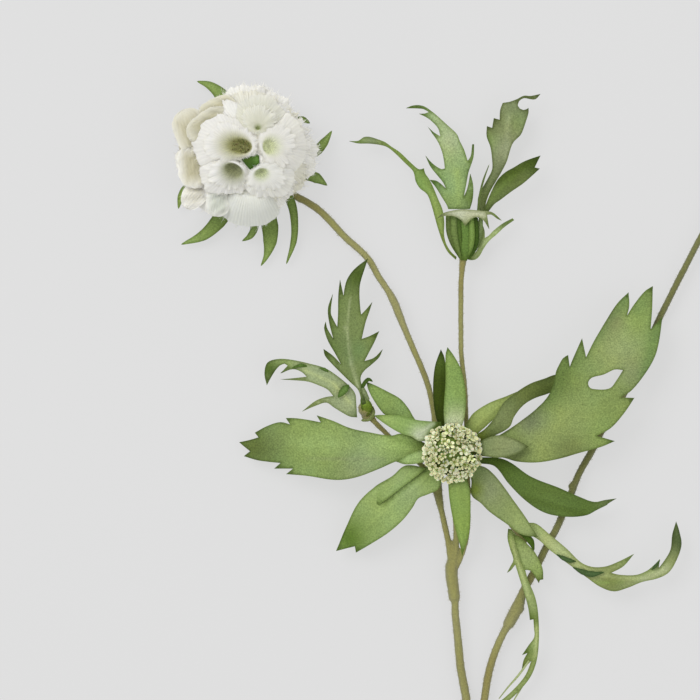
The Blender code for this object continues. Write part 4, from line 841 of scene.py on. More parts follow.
DARK_STRAP = [(43.1, -38.05), (47, -38.5), (54, -38.9), (58, -40.6), (65, -45.5), (75, -49.5), (83, -53),
              (88, -54.7), (92, -54), (96, -53.5), (93, -55.3), (92.5, -55.8), (89, -57.5), (85, -59.5),
              (78, -60), (70, -58.5), (63, -54), (57, -48), (52, -41.8), (47, -40.8), (42.4, -40.35)]
DARK_STRAP_RIB = [(43, -39.3, 13.0), (53, -40.2, 12.2), (60, -46, 12.4), (70, -53, 11.6), (82, -56.5, 10),
                  (96, -53.6, 7.5)]
LOW_RIGHT_LEAF = [(42.05, -40.7), (46, -41.4), (49, -42.4), (53, -46.2), (58, -53), (63, -60), (67.5, -67.2),
                  (63.5, -66.8), (60, -65.5), (57, -63), (50, -58), (47, -55), (43.6, -52), (43.4, -46),
                  (40.15, -43)]
LOW_RIGHT_RIB = [(41.4, -42.2, 13.4), (47.5, -48, 14), (55, -56.5, 13.4), (67.5, -67.2, 11.6)]
BOTTOM_LEAF = [(35, -43.7), (35.5, -52), (37, -61), (39.5, -70), (40.3, -74.3), (42.7, -66), (43.2, -57),
               (42.8, -50), (41.5, -46), (39, -43.55)]
BOTTOM_RIB = [(37, -43.9, 17.3), (39, -52, 17.6), (39.8, -62, 15.2), (40.3, -74.3, 10)]


# Green bracts under the bloom: x, y, z and half width
BLOOM_BRACTS = [
    [(-36, 70, 5.6, 1.6), (-39.5, 79, 5.8, 2.4), (-44.3, 88.5, 5.2, 3.1), (-47, 92.6, 4.2, 2.3),
     (-50.8, 95.6, 3.2, 1.4), (-55.3, 97.1, 2.2, 0.2)],
    [(-30, 67.5, 5.6, 1.4), (-21, 69, 5.8, 1.8), (-12.6, 71.6, 5.4, 1.9), (-9.3, 75, 4.4, 1.5),
     (-6.5, 79.2, 3.4, 0.2)],
    [(-30.5, 66, 5.6, 1.4), (-23, 64.8, 5.8, 1.6), (-15.2, 63, 5.4, 1.8), (-12, 62, 4.8, 1.9),
     (-8.2, 59.4, 3.6, 0.2)],
    [(-31, 69.5, 5.6, 1.3), (-25, 76.4, 5.8, 1.7), (-19.6, 82.0, 5.2, 1.7), (-17.0, 83.0, 4.8, 1.3),
     (-14.4, 81.8, 4.4, 0.2)],
    [(-38.5, 66, 5.6, 1.3), (-49, 63, 5.8, 1.8), (-58.6, 58.4, 5.0, 1.7), (-61, 55.3, 4.0, 1.2),
     (-62, 51, 2.8, 0.2)],
    [(-37, 63, 5.6, 1.6), (-42, 54, 5.8, 2.4), (-47.6, 46.4, 5.0, 2.7), (-53, 41.4, 4.0, 1.9),
     (-61, 38.1, 2.4, 0.2)],
    [(-34.8, 62, 5.6, 1.2), (-34.6, 52, 5.8, 1.4), (-34.5, 44.3, 4.8, 1.4), (-36, 41.2, 3.8, 1.1),
     (-39, 39.3, 3.0, 0.2)],
    [(-33.4, 62, 5.6, 1.4), (-30.6, 53, 5.8, 2.4), (-28.9, 44.6, 4.8, 3.0), (-28.9, 39, 3.8, 2.4),
     (-30.2, 34, 2.8, 1.0), (-32.2, 30.3, 2.2, 0.2)],
    [(-31.4, 63.3, 5.8, 1.2), (-25, 60, 6.2, 1.6), (-21.2, 53, 6.2, 1.6), (-20, 46, 5.2, 1.3),
     (-20.4, 39, 4.0, 1.1), (-23, 31, 2.4, 0.2)]]

# Leaves of the upper shoot
SHOOT_LONG = [(38.2, 32.6), (35.4, 35.2), (33.4, 39), (31.8, 43.5), (30.5, 48), (29.4, 52), (27.8, 56),
              (25.2, 58.2), (23.7, 60.6), (23.2, 63), (22.6, 64.6), (19.6, 67.6), (16.4, 70.8), (14, 72.8),
              (12, 73.7), (7, 74.4), (3, 74.5), (-0.3, 75.3), (3, 75.4), (5, 76.7), (7, 76.8), (10, 75.9),
              (12.6, 74.9), (14.8, 73.3), (17.8, 71.3), (22, 67.3), (24.8, 65), (26.6, 65.4), (27, 63.6),
              (28.4, 61.6), (30, 58.4), (31.6, 54.5), (33.3, 50.4), (33.9, 46), (33.8, 42), (34.5, 38.6),
              (36.2, 35.6), (38.4, 33.5)]
SHOOT_LONG_RIB = [(38, 33.2, 6), (34, 39.5, 7.4), (32.2, 47, 8.4), (30.2, 54, 9), (26.6, 61, 9.2),
                  (20, 68.7, 8.2), (13, 74.3, 7), (6, 75.6, 6.4), (0, 75.2, 6)]
SHOOT_MIDDLE = [(35.4, 50.8), (34.9, 52.2), (33, 55.3), (31, 58.5), (28.8, 61.2), (31, 60.9), (33, 59.5),
                (34.6, 58), (33.5, 60.3), (31.5, 62.8), (29, 66), (27.2, 69.9), (28.7, 68), (30.8, 66.2),
                (33, 65), (34.1, 65.3), (33.8, 68), (33, 71.5), (31.5, 75), (29.5, 78), (28, 80.3),
                (30, 78.4), (32.5, 76.8), (31.8, 79.5), (30.4, 81.3), (28, 83.4), (24.8, 85.1), (27, 85.1),
                (28.4, 85.6), (26.5, 86.7), (24, 87), (20.2, 87.1), (22, 87.9), (24.5, 88.2), (27, 87.6),
                (30, 85.4), (33, 82.7), (35.5, 80.4), (38.4, 77.6), (39.5, 75), (41, 72), (42.3, 68),
                (43.4, 69.6), (44, 74), (44.6, 74), (44.4, 69.5), (43.3, 66), (42.6, 64), (41.7, 59),
                (40.9, 55), (42.2, 58), (43.3, 63.4), (44.2, 60), (44.4, 57), (44.1, 54), (43.2, 50.8)]
SHOOT_MIDDLE_RIB = [(39.2, 50.8, 7.6), (38.6, 58, 9.6), (37.5, 66, 11.4), (35.8, 74, 12), (32, 81.5, 11),
                    (27, 86.4, 9), (20.2, 87.2, 7.4)]
SHOOT_BITTEN = [(45.5, 48.9), (46, 51.5), (46.2, 55), (47.5, 58), (49.5, 61.5), (51.2, 65), (51.2, 68.5),
                (50.6, 73), (49.2, 77), (49.3, 80.6), (51.2, 80), (51.8, 83.5), (53.9, 82.9), (54.1, 86.5),
                (55, 89), (57.5, 89.4), (60.2, 90.4), (62.6, 91.6), (65, 91.5), (68.6, 92.2), (66.8, 90.3),
                (65.1, 90.3), (62.6, 90.7), (60.9, 89.6), (60.4, 88), (61.2, 86.9), (62.5, 86.4),
                (63.6, 86.7), (64.3, 87.2), (64.3, 85.5), (63.4, 82.5), (62.4, 79.5), (61.5, 77.5), (59, 75),
                (58, 73), (56.5, 68), (54.5, 64), (52, 59.8), (50.2, 56.5), (49, 53), (48.6, 50.8),
                (47.4, 48), (46.2, 47.6)]
SHOOT_BITTEN_RIB = [(46.3, 48.2, 6.2), (47.4, 51.5, 5.8), (48.4, 56, 6.2), (52.6, 64, 7.2), (54.5, 72, 8),
                    (56.5, 80, 8.4), (60, 89, 8)]
SHOOT_SPLIT = [(47.7, 49.3), (49.4, 49.6), (52, 52.6), (54, 54), (58, 57), (62, 59.7), (65, 62.3),
               (68.3, 65.3), (66.4, 65.7), (67.3, 67.5), (68.6, 70), (65, 68.8), (62, 67.5), (59, 65.7),
               (56, 64), (53.6, 61.8), (52, 59.4), (50.4, 56)]
SHOOT_SPLIT_RIB = [(48.4, 49.7, 7.2), (50.4, 53, 9.2), (56, 59.6, 11.2), (62, 64, 11), (68, 67.6, 9)]
SHOOT_SHEATH = [(43.2, 32.4), (45.2, 32.6), (46.8, 34), (48.2, 36.6), (50.2, 39.4), (52.4, 41.3),
                (55.8, 44.4), (59.2, 46.8), (58.6, 47.5), (55, 45.6), (51.5, 42.8), (50, 41.2), (48.6, 40.4),
                (48.5, 43), (47.7, 45.4), (47.5, 41), (46.9, 38.4), (45.6, 35.6), (43.9, 34)]
SHOOT_SHEATH_RIB = [(43.6, 33.2, 5.6), (47, 36.8, 6.2), (52, 42, 6.8), (59, 47.1, 6.4)]
SHOOT_ARCH = [(30.9, 47), (33, 48.9), (35.5, 49.8), (40, 50.5), (44, 50.3), (47.6, 50), (51, 49.6),
              (53.2, 48), (54.6, 46.6), (53, 47.2), (50.8, 48.7), (49.2, 48.6), (50.1, 43.5), (48.0, 46.6),
              (46, 47.8), (44, 47.4), (42.6, 46), (41.3, 44.6), (40, 46.6), (37.6, 48), (35, 48.3),
              (32.8, 48)]
SHOOT_ARCH_RIB = [(30.9, 47, 10.2), (35, 48.2, 12.2), (41, 48.6, 12.9), (46, 48.4, 12.2), (54, 47.4, 9.6)]

# Leaves of the left shoot
LEFT_UPRIGHT = [(4.3, -19.7), (3, -14.5), (0, -11.5), (-3, -8.5), (-6.5, -5), (-9, -2), (-9.5, 0.4),
                (-6.2, -2), (-3.3, -5), (-5.5, -1), (-8, 3.5), (-9.3, 8), (-8.7, 10.2), (-8.3, 8), (-6, 4),
                (-7.5, 10), (-7.9, 15), (-6.2, 20.2), (-6.9, 13.4), (-6, 11), (-4.6, 8.3), (-4.3, 13),
                (-4.2, 20), (-3.6, 25.3), (-2.3, 19.5), (-2, 22), (-1, 25.5), (1.5, 29), (6.5, 33), (5.2, 29),
                (3.7, 24), (3.4, 20), (3.7, 15), (4, 12.7), (6, 14.8), (8, 17.2), (7, 14), (5.6, 10),
                (4.2, 4), (7, 5), (10.5, 6.8), (8.6, 2.5), (7, -0.5), (5.2, -4), (8.6, -2.8), (11.7, 0.2),
                (10.5, -2.6), (8, -5), (5, -7.6), (3.8, -10), (4.3, -13), (5.8, -19.3)]
LEFT_UPRIGHT_RIB = [(5, -19.6, 10.2), (2.6, -12.5, 10.2), (0.2, -5, 10.8), (-0.8, 6, 11.4), (0, 18, 11.2),
                    (2, 27, 10), (6.5, 33, 8)]
LEFT_ARCHED = [(2.6, -24.3), (0, -24), (-3, -22.4), (-6, -20.5), (-8.5, -18.9), (-12, -19.9), (-17.2, -22.1),
               (-12.5, -18.4), (-8.8, -17), (-6, -16.6), (-8, -14.3), (-11, -12.8), (-15, -11.4),
               (-20, -10.9), (-25.2, -10.6), (-20, -10.1), (-15.6, -9.6), (-17.4, -7.9), (-20.5, -6.9),
               (-25, -8.4), (-22.4, -5.6), (-23.5, -4.9), (-25.4, -5.7), (-28, -9), (-30, -12.7), (-30.8, -9),
               (-30.3, -5.5), (-29, -4), (-25, -3.2), (-20, -3.7), (-15, -4.8), (-9, -6.5), (-5, -9),
               (0, -13.2), (1.9, -15.8), (2.2, -19.2)]
LEFT_ARCHED_RIB = [(2.4, -21.8, 7.2), (-2, -16.5, 8.8), (-8, -10.5, 10.2), (-16, -6.6, 10.6),
                   (-24, -4.2, 9.6), (-29.5, -6, 7.4), (-30, -12.6, 5)]

# Leaves of the lower right shoot
CURVED_LEAF = [(63.2, -65.6), (62.4, -64.8), (63.8, -62.2), (67, -62.5), (72, -66.5), (78, -71.5),
               (83, -76.3), (87, -78), (92, -77.9), (97, -76), (102.2, -73.4), (98.4, -77.8), (94, -80.2),
               (97, -80.9), (103, -81), (107, -79.5), (109.6, -77.4), (111.6, -75.4), (111.2, -78.6),
               (113, -76.3), (115.5, -72), (116.2, -66.5), (117.6, -61.8), (118.6, -65), (119.5, -70),
               (118, -75), (115, -80), (111, -82.2), (105, -83.6), (100, -85.6), (95, -86.9), (90, -85.2),
               (85, -81.7), (80, -78), (76, -75.1), (72, -72), (68, -68.4)]
CURVED_LEAF_RIB = [(62.8, -65.2, 8.7), (65, -64.4, 8.8), (72, -69, 9.4), (80, -75.2, 10), (90, -81.4, 9.6),
                   (102, -82.6, 8.4), (112, -79.5, 7.4), (117.4, -71, 6.6), (117.6, -62, 6)]
HANGING_LEAF = [(57.0, -64.4), (56.8, -68), (57.8, -72), (58.9, -75.6), (57.8, -78), (56.6, -80.3),
                (57.8, -79.6), (59.6, -77.4), (61, -82), (62.6, -87), (64, -92), (64.6, -95.4), (64.8, -97.3),
                (66.1, -97), (66.3, -100), (66.4, -103.4), (64.4, -106.4), (62, -110), (64, -109.2),
                (62.6, -111.8), (61.9, -115.2), (64, -113.4), (65.4, -112), (63.4, -117), (60.4, -121),
                (57, -124.4), (53.4, -127.6), (52.2, -129.6), (56, -127.6), (61, -123), (65, -118),
                (67.2, -112.4), (68, -106), (68, -98), (67.4, -92), (66.2, -87.6), (64.2, -83), (62.8, -78),
                (61.4, -73), (60.9, -70.6), (60.6, -67.6), (60.0, -65.0)]
HANGING_LEAF_RIB = [(57.6, -64.6, 6.3), (58.4, -69, 6.3), (60.4, -76, 6.4), (63.4, -85, 7.2),
                    (66.6, -96, 7.4), (67, -106, 7), (64.4, -115.4, 6), (59, -122.6, 5), (52.6, -128.6, 4)]
SHORT_LEAF = [(58.6, -66.2), (60.2, -72), (61.6, -76.6), (63, -79.2), (65, -79.4), (66.8, -82), (68, -84),
              (68.4, -82.8), (69.6, -82.6), (69.4, -79), (68.4, -76.2), (66.4, -72.6), (64.2, -70.2),
              (61.2, -67.4)]
SHORT_LEAF_RIB = [(60.6, -69.4, 9.4), (65, -75.6, 9.4), (68.6, -83, 8)]


# Stems

def make_stems():
    """Join the branches by remeshing them together, then roughen them a little."""
    shell = Shell()
    neck = turned(HEAD,
                  [(1.5, 9.5), (3.4, 11.2), (5.4, 12.0), (HEAD_NECK_RADIUS, 12.9), (HEAD_NECK_RADIUS, 15.5),
                         (HEAD_NECK_RADIUS, HEAD_NECK_TOP)])
    parts = [tube(MAIN_STEM), tube(BLOOM_STEM), tube(UPPER_STEM), tube(HEAD_STALK), neck,
             tube(LEFT_SHOOT_STEM),
             tube(RIGHT_STEM), tube(RIGHT_NUB), tube(SWELLING), tube(LOWER_SHOOT_STEM), tube(BLOOM_STEM_NUB),
             lump((5.6, -21.2, 7.0), (2.7, 2.8, 2.6)), lump((6.6, -23.9, 6.2), (2.6, 1.5, 1.6)),
             lump((62.2, -67.6, 6.9), (2.3, 2.3, 1.9))]
    for verts, faces in parts:
        shell.add(verts, faces, OLIVE)
    stems = shell.piece("stems", STEM_FLOCK, ["branching_stem"])
    remesh = stems.modifiers.new("join", "REMESH")
    remesh.mode = "VOXEL"
    remesh.voxel_size = STEM_VOXEL * MM
    remesh.use_smooth_shade = True
    soften = stems.modifiers.new("soften", "SMOOTH")
    soften.factor = 0.5
    soften.iterations = 4
    apply_modifiers(stems)
    roughen_stems(stems.data)
    make_stem_hairs(stems.data)


def apply_modifiers(obj):
    bpy.context.view_layer.update()
    graph = bpy.context.evaluated_depsgraph_get()
    mesh = bpy.data.meshes.new_from_object(obj.evaluated_get(graph))
    obj.modifiers.clear()
    obj.data = mesh


def roughen_stems(mesh):
    """Shallow lengthwise unevenness, as on a wire that is bound and flocked."""
    count = len(mesh.vertices)
    spots = np.empty(count * 3)
    mesh.vertices.foreach_get("co", spots)
    normals = np.empty(count * 3)
    mesh.vertices.foreach_get("normal", normals)
    spots = spots.reshape(-1, 3)
    normals = normals.reshape(-1, 3)
    x, y, z = (spots / MM).T
    bumps = np.sin(x * 1.9 + y * 0.35) * np.sin(y * 0.83 + z * 2.1) + 0.5 * np.sin(y * 2.7 + x * 3.1)
    spots = spots + normals * (bumps * 0.05 * MM)[:, None]
    spots[:, 2] = np.maximum(spots[:, 2], 0.0)
    mesh.vertices.foreach_set("co", spots.ravel())
    mesh.shade_smooth()
    mesh.update()


def make_stem_hairs(mesh):
    """Short soft hairs that stand off the stems."""
    rng = random.Random(11)
    shell = Shell()
    total = len(mesh.vertices)
    for _ in range(STEM_HAIRS):
        vert = mesh.vertices[rng.randrange(total)]
        root = Vector(vert.co) / MM + ORIGIN
        heading = Vector(vert.normal) + Vector([rng.uniform(-0.6, 0.6) for _ in range(3)])
        length = rng.uniform(0.35, 0.9)
        tip = root + heading.normalized() * length
        if tip.z < 0.05 or (tip - HEAD).xy.length < DOME_RADIUS and root.z > 11:
            continue
        bend = Vector([rng.uniform(-0.15, 0.15) for _ in range(3)])
        foot = root - heading.normalized() * 0.05
        fibre(shell, [foot, (root + tip) / 2 + bend, tip], HAIR_RADIUS, HAIR_TONE * rng.uniform(0.8, 1.25))
    shell.piece("stem_fuzz", STEM_HAIR)


# Leaves

def leaf(node, slot, outline, rib, tone, extra=(), **form):
    """One cloth leaf in place of its solid, with narrow curled teeth where a leaf has them."""
    shell = Shell()
    blade(shell, outline, rib, tone, **form)
    for path, strap_tone in extra:
        strap(shell, path, strap_tone, crease=0.1)
    shell.piece(node + "_cloth", LEAF_CLOTHS[slot], [node])


def make_head_leaves():
    # The broad pale stroke along the middle of this leaf is a painted sheen highlight.
    leaf("head_leaf_left", "leaf_green", LEFT_LEAF, LEFT_LEAF_RIB, paint(126, 147, 84), cup=-0.006, wave=0.9,
         patches=[(-8, -34, 11, LIGHT, 0.3), (6, -38, 8, paint(138, 158, 110), 0.7), (14, -34, 7, LIGHT, 0.6),
                  (-28, -32, 6, paint(118, 136, 84), 0.6), (-34, -36, 8, paint(88, 102, 50), 0.95),
                  (2, -44, 7, GREY, 0.6), (19, -33.5, 5, paint(150, 176, 96), 0.7),
                  (27.5, -34.4, 3.4, DEEP, 0.8)],
         strokes=[(-20, -33, 20, -33, 3.0, paint(148, 172, 106), 0.35),
                  (-16, -38.6, 12, -39.4, 0.5, GREY, 0.6),
                  (14, -31.0, 27, -35.4, 1.1, paint(108, 132, 62), 0.5)])
    # The dark stroke along the slit is a painted shadow line under the raised fold.
    leaf("head_leaf_low_left", "leaf_grey", LOW_LEFT_LEAF, LOW_LEFT_RIB, paint(142, 164, 100), cup=-0.012,
         wave=0.5,
         patches=[(14, -58, 7, LIGHT, 0.4), (22, -50, 6, paint(146, 164, 116), 0.5),
                  (0, -68, 8, paint(84, 112, 36), 0.95), (9, -66, 5, MID, 0.5), (28, -47, 5, LIGHT, 0.5),
                  (29, -42.5, 4, DEEP, 0.7)],
         strokes=[(27, -43.4, 12, -55.6, 0.8, DEEP, 0.7)])
    fold = Shell()
    blade(fold, LOW_LEFT_FOLD, LOW_LEFT_FOLD_RIB, paint(140, 163, 100), cup=-0.03, tilt=0.3, crease=0.0,
          ripple=0.0,
          patches=[(8, -52, 4, MID, 0.5)])
    fold.piece("head_leaf_low_left_fold", LEAF_CLOTHS["leaf_grey"])
    leaf("head_bract_left", "leaf_green", SMALL_LEFT, SMALL_LEFT_RIB, paint(150, 174, 110),
         patches=[(29, -37.5, 3, MIST, 0.5)])
    leaf("head_leaf_upper_left", "leaf_green", UPPER_LEFT_LEAF, UPPER_LEFT_RIB, paint(120, 144, 80),
         cup=0.012,
         patches=[(16, -19, 5, LIGHT, 0.2), (9, -14, 3.5, FRESH, 0.5), (22, -26, 5, MID, 0.5)],
         strokes=[(12, -22.8, 22, -27.5, 0.9, DEEP, 0.6)])
    # The dark stroke beside the fold is a painted shadow strip in the gap under the folded leaf.
    leaf("head_leaf_folded", "leaf_pale", FOLDED_LEAF, FOLDED_RIB, paint(130, 156, 86), cup=-0.03, step=0.7,
         patches=[(25.0, -30.6, 3.4, paint(188, 198, 164), 0.9), (12, -24.5, 5, LIGHT, 0.6),
                  (32, -28.5, 2.6, DEEP, 0.9)],
         strokes=[(24.4, -30.6, 29.6, -26.4, 0.9, paint(188, 198, 166), 0.7),
                  (26.2, -33.4, 31.6, -26.6, 0.8, paint(74, 94, 22), 0.95)])
    # Painted shade: this leaf's near-black green and its darker patch stand for a leaf turned away from the
    # light.
    leaf("head_leaf_top_dark", "leaf_dark", TOP_DARK, TOP_DARK_RIB, paint(54, 70, 4), cup=0.02, under=DARK,
         patches=[(33, -4, 5, paint(84, 106, 40), 0.6), (33, -24, 5, PAINTED_SHADE_GREEN, 0.4)])
    leaf("head_leaf_top_light", "leaf_green", TOP_LIGHT, TOP_LIGHT_RIB, paint(122, 149, 80), cup=-0.02,
         patches=[(37.5, -27, 5.5, paint(194, 205, 168), 0.95), (37, -14, 6, LIGHT, 0.1),
                  (35.6, -2, 4, MID, 0.7)],
         strokes=[(34.4, -24, 34.6, -8, 0.7, MID, 0.5)])
    leaf("head_leaf_upper_right", "leaf_pale", UPPER_RIGHT_LEAF, UPPER_RIGHT_RIB, STRAW, cup=-0.01,
         patches=[(50, -22, 7, LIGHT, 0.3), (42, -31, 4, DEEP, 0.8)])
    leaf("head_leaf_arched", "leaf_dark", ARCHED_STRAP, ARCHED_RIB, paint(98, 112, 58), tilt=0.1,
         patches=[(55, -24, 7, paint(124, 136, 92), 0.6), (70, -13, 6, paint(92, 104, 46), 0.6),
                  (45, -32.5, 5, paint(92, 108, 14), 0.9)])
    leaf("head_leaf_large", "leaf_green", BIG_LEAF, BIG_LEAF_RIB, paint(126, 145, 82), cup=-0.006, wave=1.0,
         wave_length=30, holes=[BIG_LEAF_HOLE],
         patches=[(80, -27, 11, paint(138, 154, 92), 0.8), (68, -33, 10, paint(148, 164, 98), 0.7),
                  (97, 0, 9, paint(152, 168, 110), 0.9), (92, 6, 8, GREY, 0.3),
                  (64, -25, 6, paint(112, 120, 92), 0.8), (76, -12, 6, paint(98, 116, 58), 0.5),
                  (104, 12, 7, paint(130, 154, 84), 0.5), (102, -8, 6, paint(132, 142, 106), 0.55),
                  (92, -30, 7, paint(134, 156, 80), 0.6), (46, -36, 6, paint(134, 160, 70), 0.7),
                  (94, 11, 4, paint(136, 134, 100), 0.6), (60, -38, 6, paint(112, 124, 74), 0.7),
                  (78, -37, 7, paint(104, 116, 68), 0.85)],
         strokes=[(72, -14, 64, -24, 2.5, paint(92, 106, 62), 0.5),
                  (103, 14, 108.4, 22, 2.6, paint(104, 128, 72), 0.5),
                  (71, -17, 79, -3, 4.0, paint(92, 114, 56), 0.75),
                  (106, -9, 111, 10, 3.0, paint(102, 130, 72), 0.7),
                  (84, 0, 99, 19, 3.0, paint(102, 127, 72), 0.65)])
    leaf("head_bract_right", "leaf_grey", SMALL_RIGHT, SMALL_RIGHT_RIB, paint(126, 138, 92), cup=-0.02,
         patches=[(45, -35, 3.4, DEEP, 0.5), (56, -33, 5, paint(138, 148, 106), 0.4)])
    leaf("head_leaf_dark", "leaf_dark", DARK_STRAP, DARK_STRAP_RIB, paint(84, 106, 46), cup=0.012, under=MID,
         patches=[(52, -40, 6, paint(70, 94, 22), 0.7), (72, -55, 8, paint(96, 118, 58), 0.6),
                  (93, -54, 4, paint(112, 124, 82), 0.7)],
         strokes=[(62, -53, 84, -59.3, 1.2, DARK, 0.45)])
    # The dark patch at this leaf's base, by the head, is painted shadow of the florets above.
    leaf("head_leaf_low_right", "leaf_grey", LOW_RIGHT_LEAF, LOW_RIGHT_RIB, paint(130, 146, 92), cup=-0.01,
         patches=[(50, -50, 6, paint(132, 142, 104), 0.8), (62, -62, 6, paint(146, 164, 104), 0.7),
                  (43, -42.5, 4, MID, 0.8), (44.5, -50, 3.2, paint(112, 130, 40), 0.9)],
         strokes=[(58, -51.5, 66, -63.5, 1.0, GREY, 0.5)])
    leaf("head_leaf_bottom", "leaf_pale", BOTTOM_LEAF, BOTTOM_RIB, paint(126, 150, 78), cup=-0.03,
         patches=[(40, -64, 7, paint(142, 172, 82), 0.4), (38.5, -48, 3.5, MID, 0.7)])


# Green head

def dome_point(turn, out):
    """Point on the dome of the green head, out running from its crown (0) to its rim (1)."""
    bend = out * math.pi / 2
    flat = DOME_RADIUS * math.sin(bend)
    lift = DOME_HEIGHT * max(0.0, math.cos(bend)) ** 1.2
    return Vector((HEAD.x + flat * math.cos(turn), HEAD.y + flat * math.sin(turn), DOME_BASE + 0.9 + lift))


def head_floret(shell, root, heading, size, spin, rng):
    """Open floret: a green cup, four or five cupped cream lobes and a few stamens."""
    heading = heading.normalized()
    side = heading.cross(Vector((0.13, 0.21, 1))).normalized()
    across = heading.cross(side)

    def spot(angle, reach, lift):
        return root + heading * lift + (side * math.cos(angle) + across * math.sin(angle)) * reach

    cup = [root - heading * 1.0]
    rings = [(0.22, -0.1), (0.34, 0.7), (0.55, 1.35)]
    for reach, lift in rings:
        cup += [spot(spin + math.pi * k / 4, reach * size, lift) for k in range(8)]
    cup.append(spot(0, 0, 0.95))
    faces = []
    for k in range(8):
        n = (k + 1) % 8
        faces.append((0, 1 + n, 1 + k))
        faces.append((9 + k, 9 + n, 1 + n, 1 + k)[::-1])
        faces.append((17 + k, 17 + n, 9 + n, 9 + k)[::-1])
        faces.append((25, 17 + k, 17 + n))
    shell.add(cup, faces, FLORET_GREEN * rng.uniform(0.7, 1.15))
    lobes = rng.choice((4, 5, 5))
    cream = CREAM_GREEN * rng.uniform(0.66, 1.06)
    cream[2] *= rng.uniform(0.75, 1.05)
    for k in range(lobes):
        angle = spin + 2 * math.pi * (k + rng.uniform(-0.12, 0.12)) / lobes
        reach = size * rng.uniform(0.85, 1.1)
        lift = 1.35 + rng.uniform(-0.25, 0.75)
        wide = math.pi / lobes * rng.uniform(0.7, 0.98)
        rim = [spot(angle, 0.2 * size, 1.3), spot(angle - wide, 0.62 * reach, 1.42),
               spot(angle - wide * 0.72, 0.95 * reach, lift),
               spot(angle - wide * 0.2, 1.08 * reach, lift + 0.12),
               spot(angle + wide * 0.2, 1.02 * reach, lift + 0.16),
               spot(angle + wide * 0.72, 0.93 * reach, lift),
               spot(angle + wide, 0.62 * reach, 1.42), spot(angle, 0.7 * reach, lift - 0.1)]
        below = [p - heading * 0.24 for p in rim]
        tris = [(7, k1, k1 + 1) for k1 in range(6)] + [(7, 6, 0)]
        faces = tris + [tuple(8 + i for i in reversed(tri)) for tri in tris]
        faces += [(k1, k1 + 8, (k1 + 1) % 7 + 8, (k1 + 1) % 7) for k1 in range(7)]
        tones = [cream * 0.7, cream, cream, cream * 1.04, cream * 1.04, cream, cream, cream * 0.9]
        shell.add(rim + below, faces, np.array(tones + [FLORET_GREEN] * 8))
    for k in range(3):
        angle = spin + 2.1 * k
        fibre(shell, [spot(angle, 0.15 * size, 0.9), spot(angle, 0.28 * size, 1.9)], 0.13,
              FLORET_GREEN * 1.25)


def make_head():
    rng = random.Random(7)
    shell = Shell()
    profile = [(5.6, DOME_BASE - 0.3), (7.4, DOME_BASE), (DOME_RADIUS - 0.5, DOME_BASE + 0.5)]
    for k in range(12):
        p = dome_point(0, 1 - k / 12)
        profile.append((max(0.2, p.x - HEAD.x - 0.4), p.z - 0.3))
    shell.add(*turned(HEAD, profile), paint(98, 120, 36))
    for k in range(HEAD_FLORETS):
        out = math.sqrt((k + 0.5) / HEAD_FLORETS) ** 0.94
        turn = k * GOLDEN_TURN + rng.uniform(-0.2, 0.2)
        root = dome_point(turn, min(1.06, out + rng.uniform(-0.1, 0.08)))
        root += Vector((0, 0, rng.uniform(-1.3, 0.7)))
        heading = Vector((math.cos(turn) * out ** 2 * 1.1 + rng.uniform(-0.3, 0.3),
                          math.sin(turn) * out ** 2 * 1.1 + rng.uniform(-0.3, 0.3), 1.2 - out * 0.7))
        head_floret(shell, root, heading, rng.uniform(1.25, 2.2) * (0.78 + 0.34 * out), rng.random() * 6, rng)
    shell.piece("head_florets_open", FLORET_FLESH, ["head_florets"], sharp=60)


# Bloom

def level_between(profile, s):
    """Distance and height along a petal's profile of (distance, height) pairs, s from 0 to 1."""
    line = smooth_path([(d, 0, z) for d, z in profile], 1e9)
    total = len(line) - 1
    at = s * total
    i = min(int(at), total - 1)
    p0 = line[max(i - 1, 0)][0]
    p1 = line[i][0]
    p2 = line[i + 1][0]
    p3 = line[min(i + 2, total)][0]
    t = at - i
    spot = 0.5 * ((2 * p1) + (p2 - p0) * t + (2 * p0 - 5 * p1 + 4 * p2 - p3) * t ** 2
                  + (3 * p1 - p0 - 3 * p2 + p3) * t ** 3)
    return spot.x, spot.z


def sheet_grid(shell, points, columns, rows, closed, dye_and_shade, side, run):
    """Close a grid of points, row after row, into a thin petal."""
    triangles = []
    width = columns if closed else columns + 1
    for j in range(rows):
        for i in range(columns):
            a = j * width + i
            b = j * width + (i + 1) % width
            c = a + width
            d = b + width
            if closed:
                triangles += [(a, b, c), (b, d, c)]
            else:
                triangles += [(a, c, b), (b, c, d)] if (i + j) % 2 else [(a, c, d), (a, d, b)]
    verts, faces = thicken(points, triangles, SHEER)
    dye_and_shade = np.array(dye_and_shade)
    shell.add(verts, faces, np.vstack([dye_and_shade, dye_and_shade * 0.97]), twice(np.array(side)), twice(np.array(run)))


def soft_ripple(rng, slow, fast):
    """Uneven smooth ripple along a line, as a function of the place on it."""
    parts = [(rng.uniform(slow, fast), rng.uniform(0, 6.28), rng.uniform(0.5, 1.0)) for _ in range(4)]
    total = sum(weight for _, _, weight in parts)
    return lambda t: sum(weight * math.sin(pace * t + start) for pace, start, weight in parts) / total


def uneven_rim(rng, count):
    """How far each place on a rim stands out or back, in torn runs of uneven length."""
    raw = [rng.uniform(-1, 1) * rng.random() for _ in range(count + 4)]
    shares = (0.25, 0.35, 0.4, 0.35, 0.25)
    return [sum(share * raw[i + n] for n, share in enumerate(shares)) for i in range(count)]


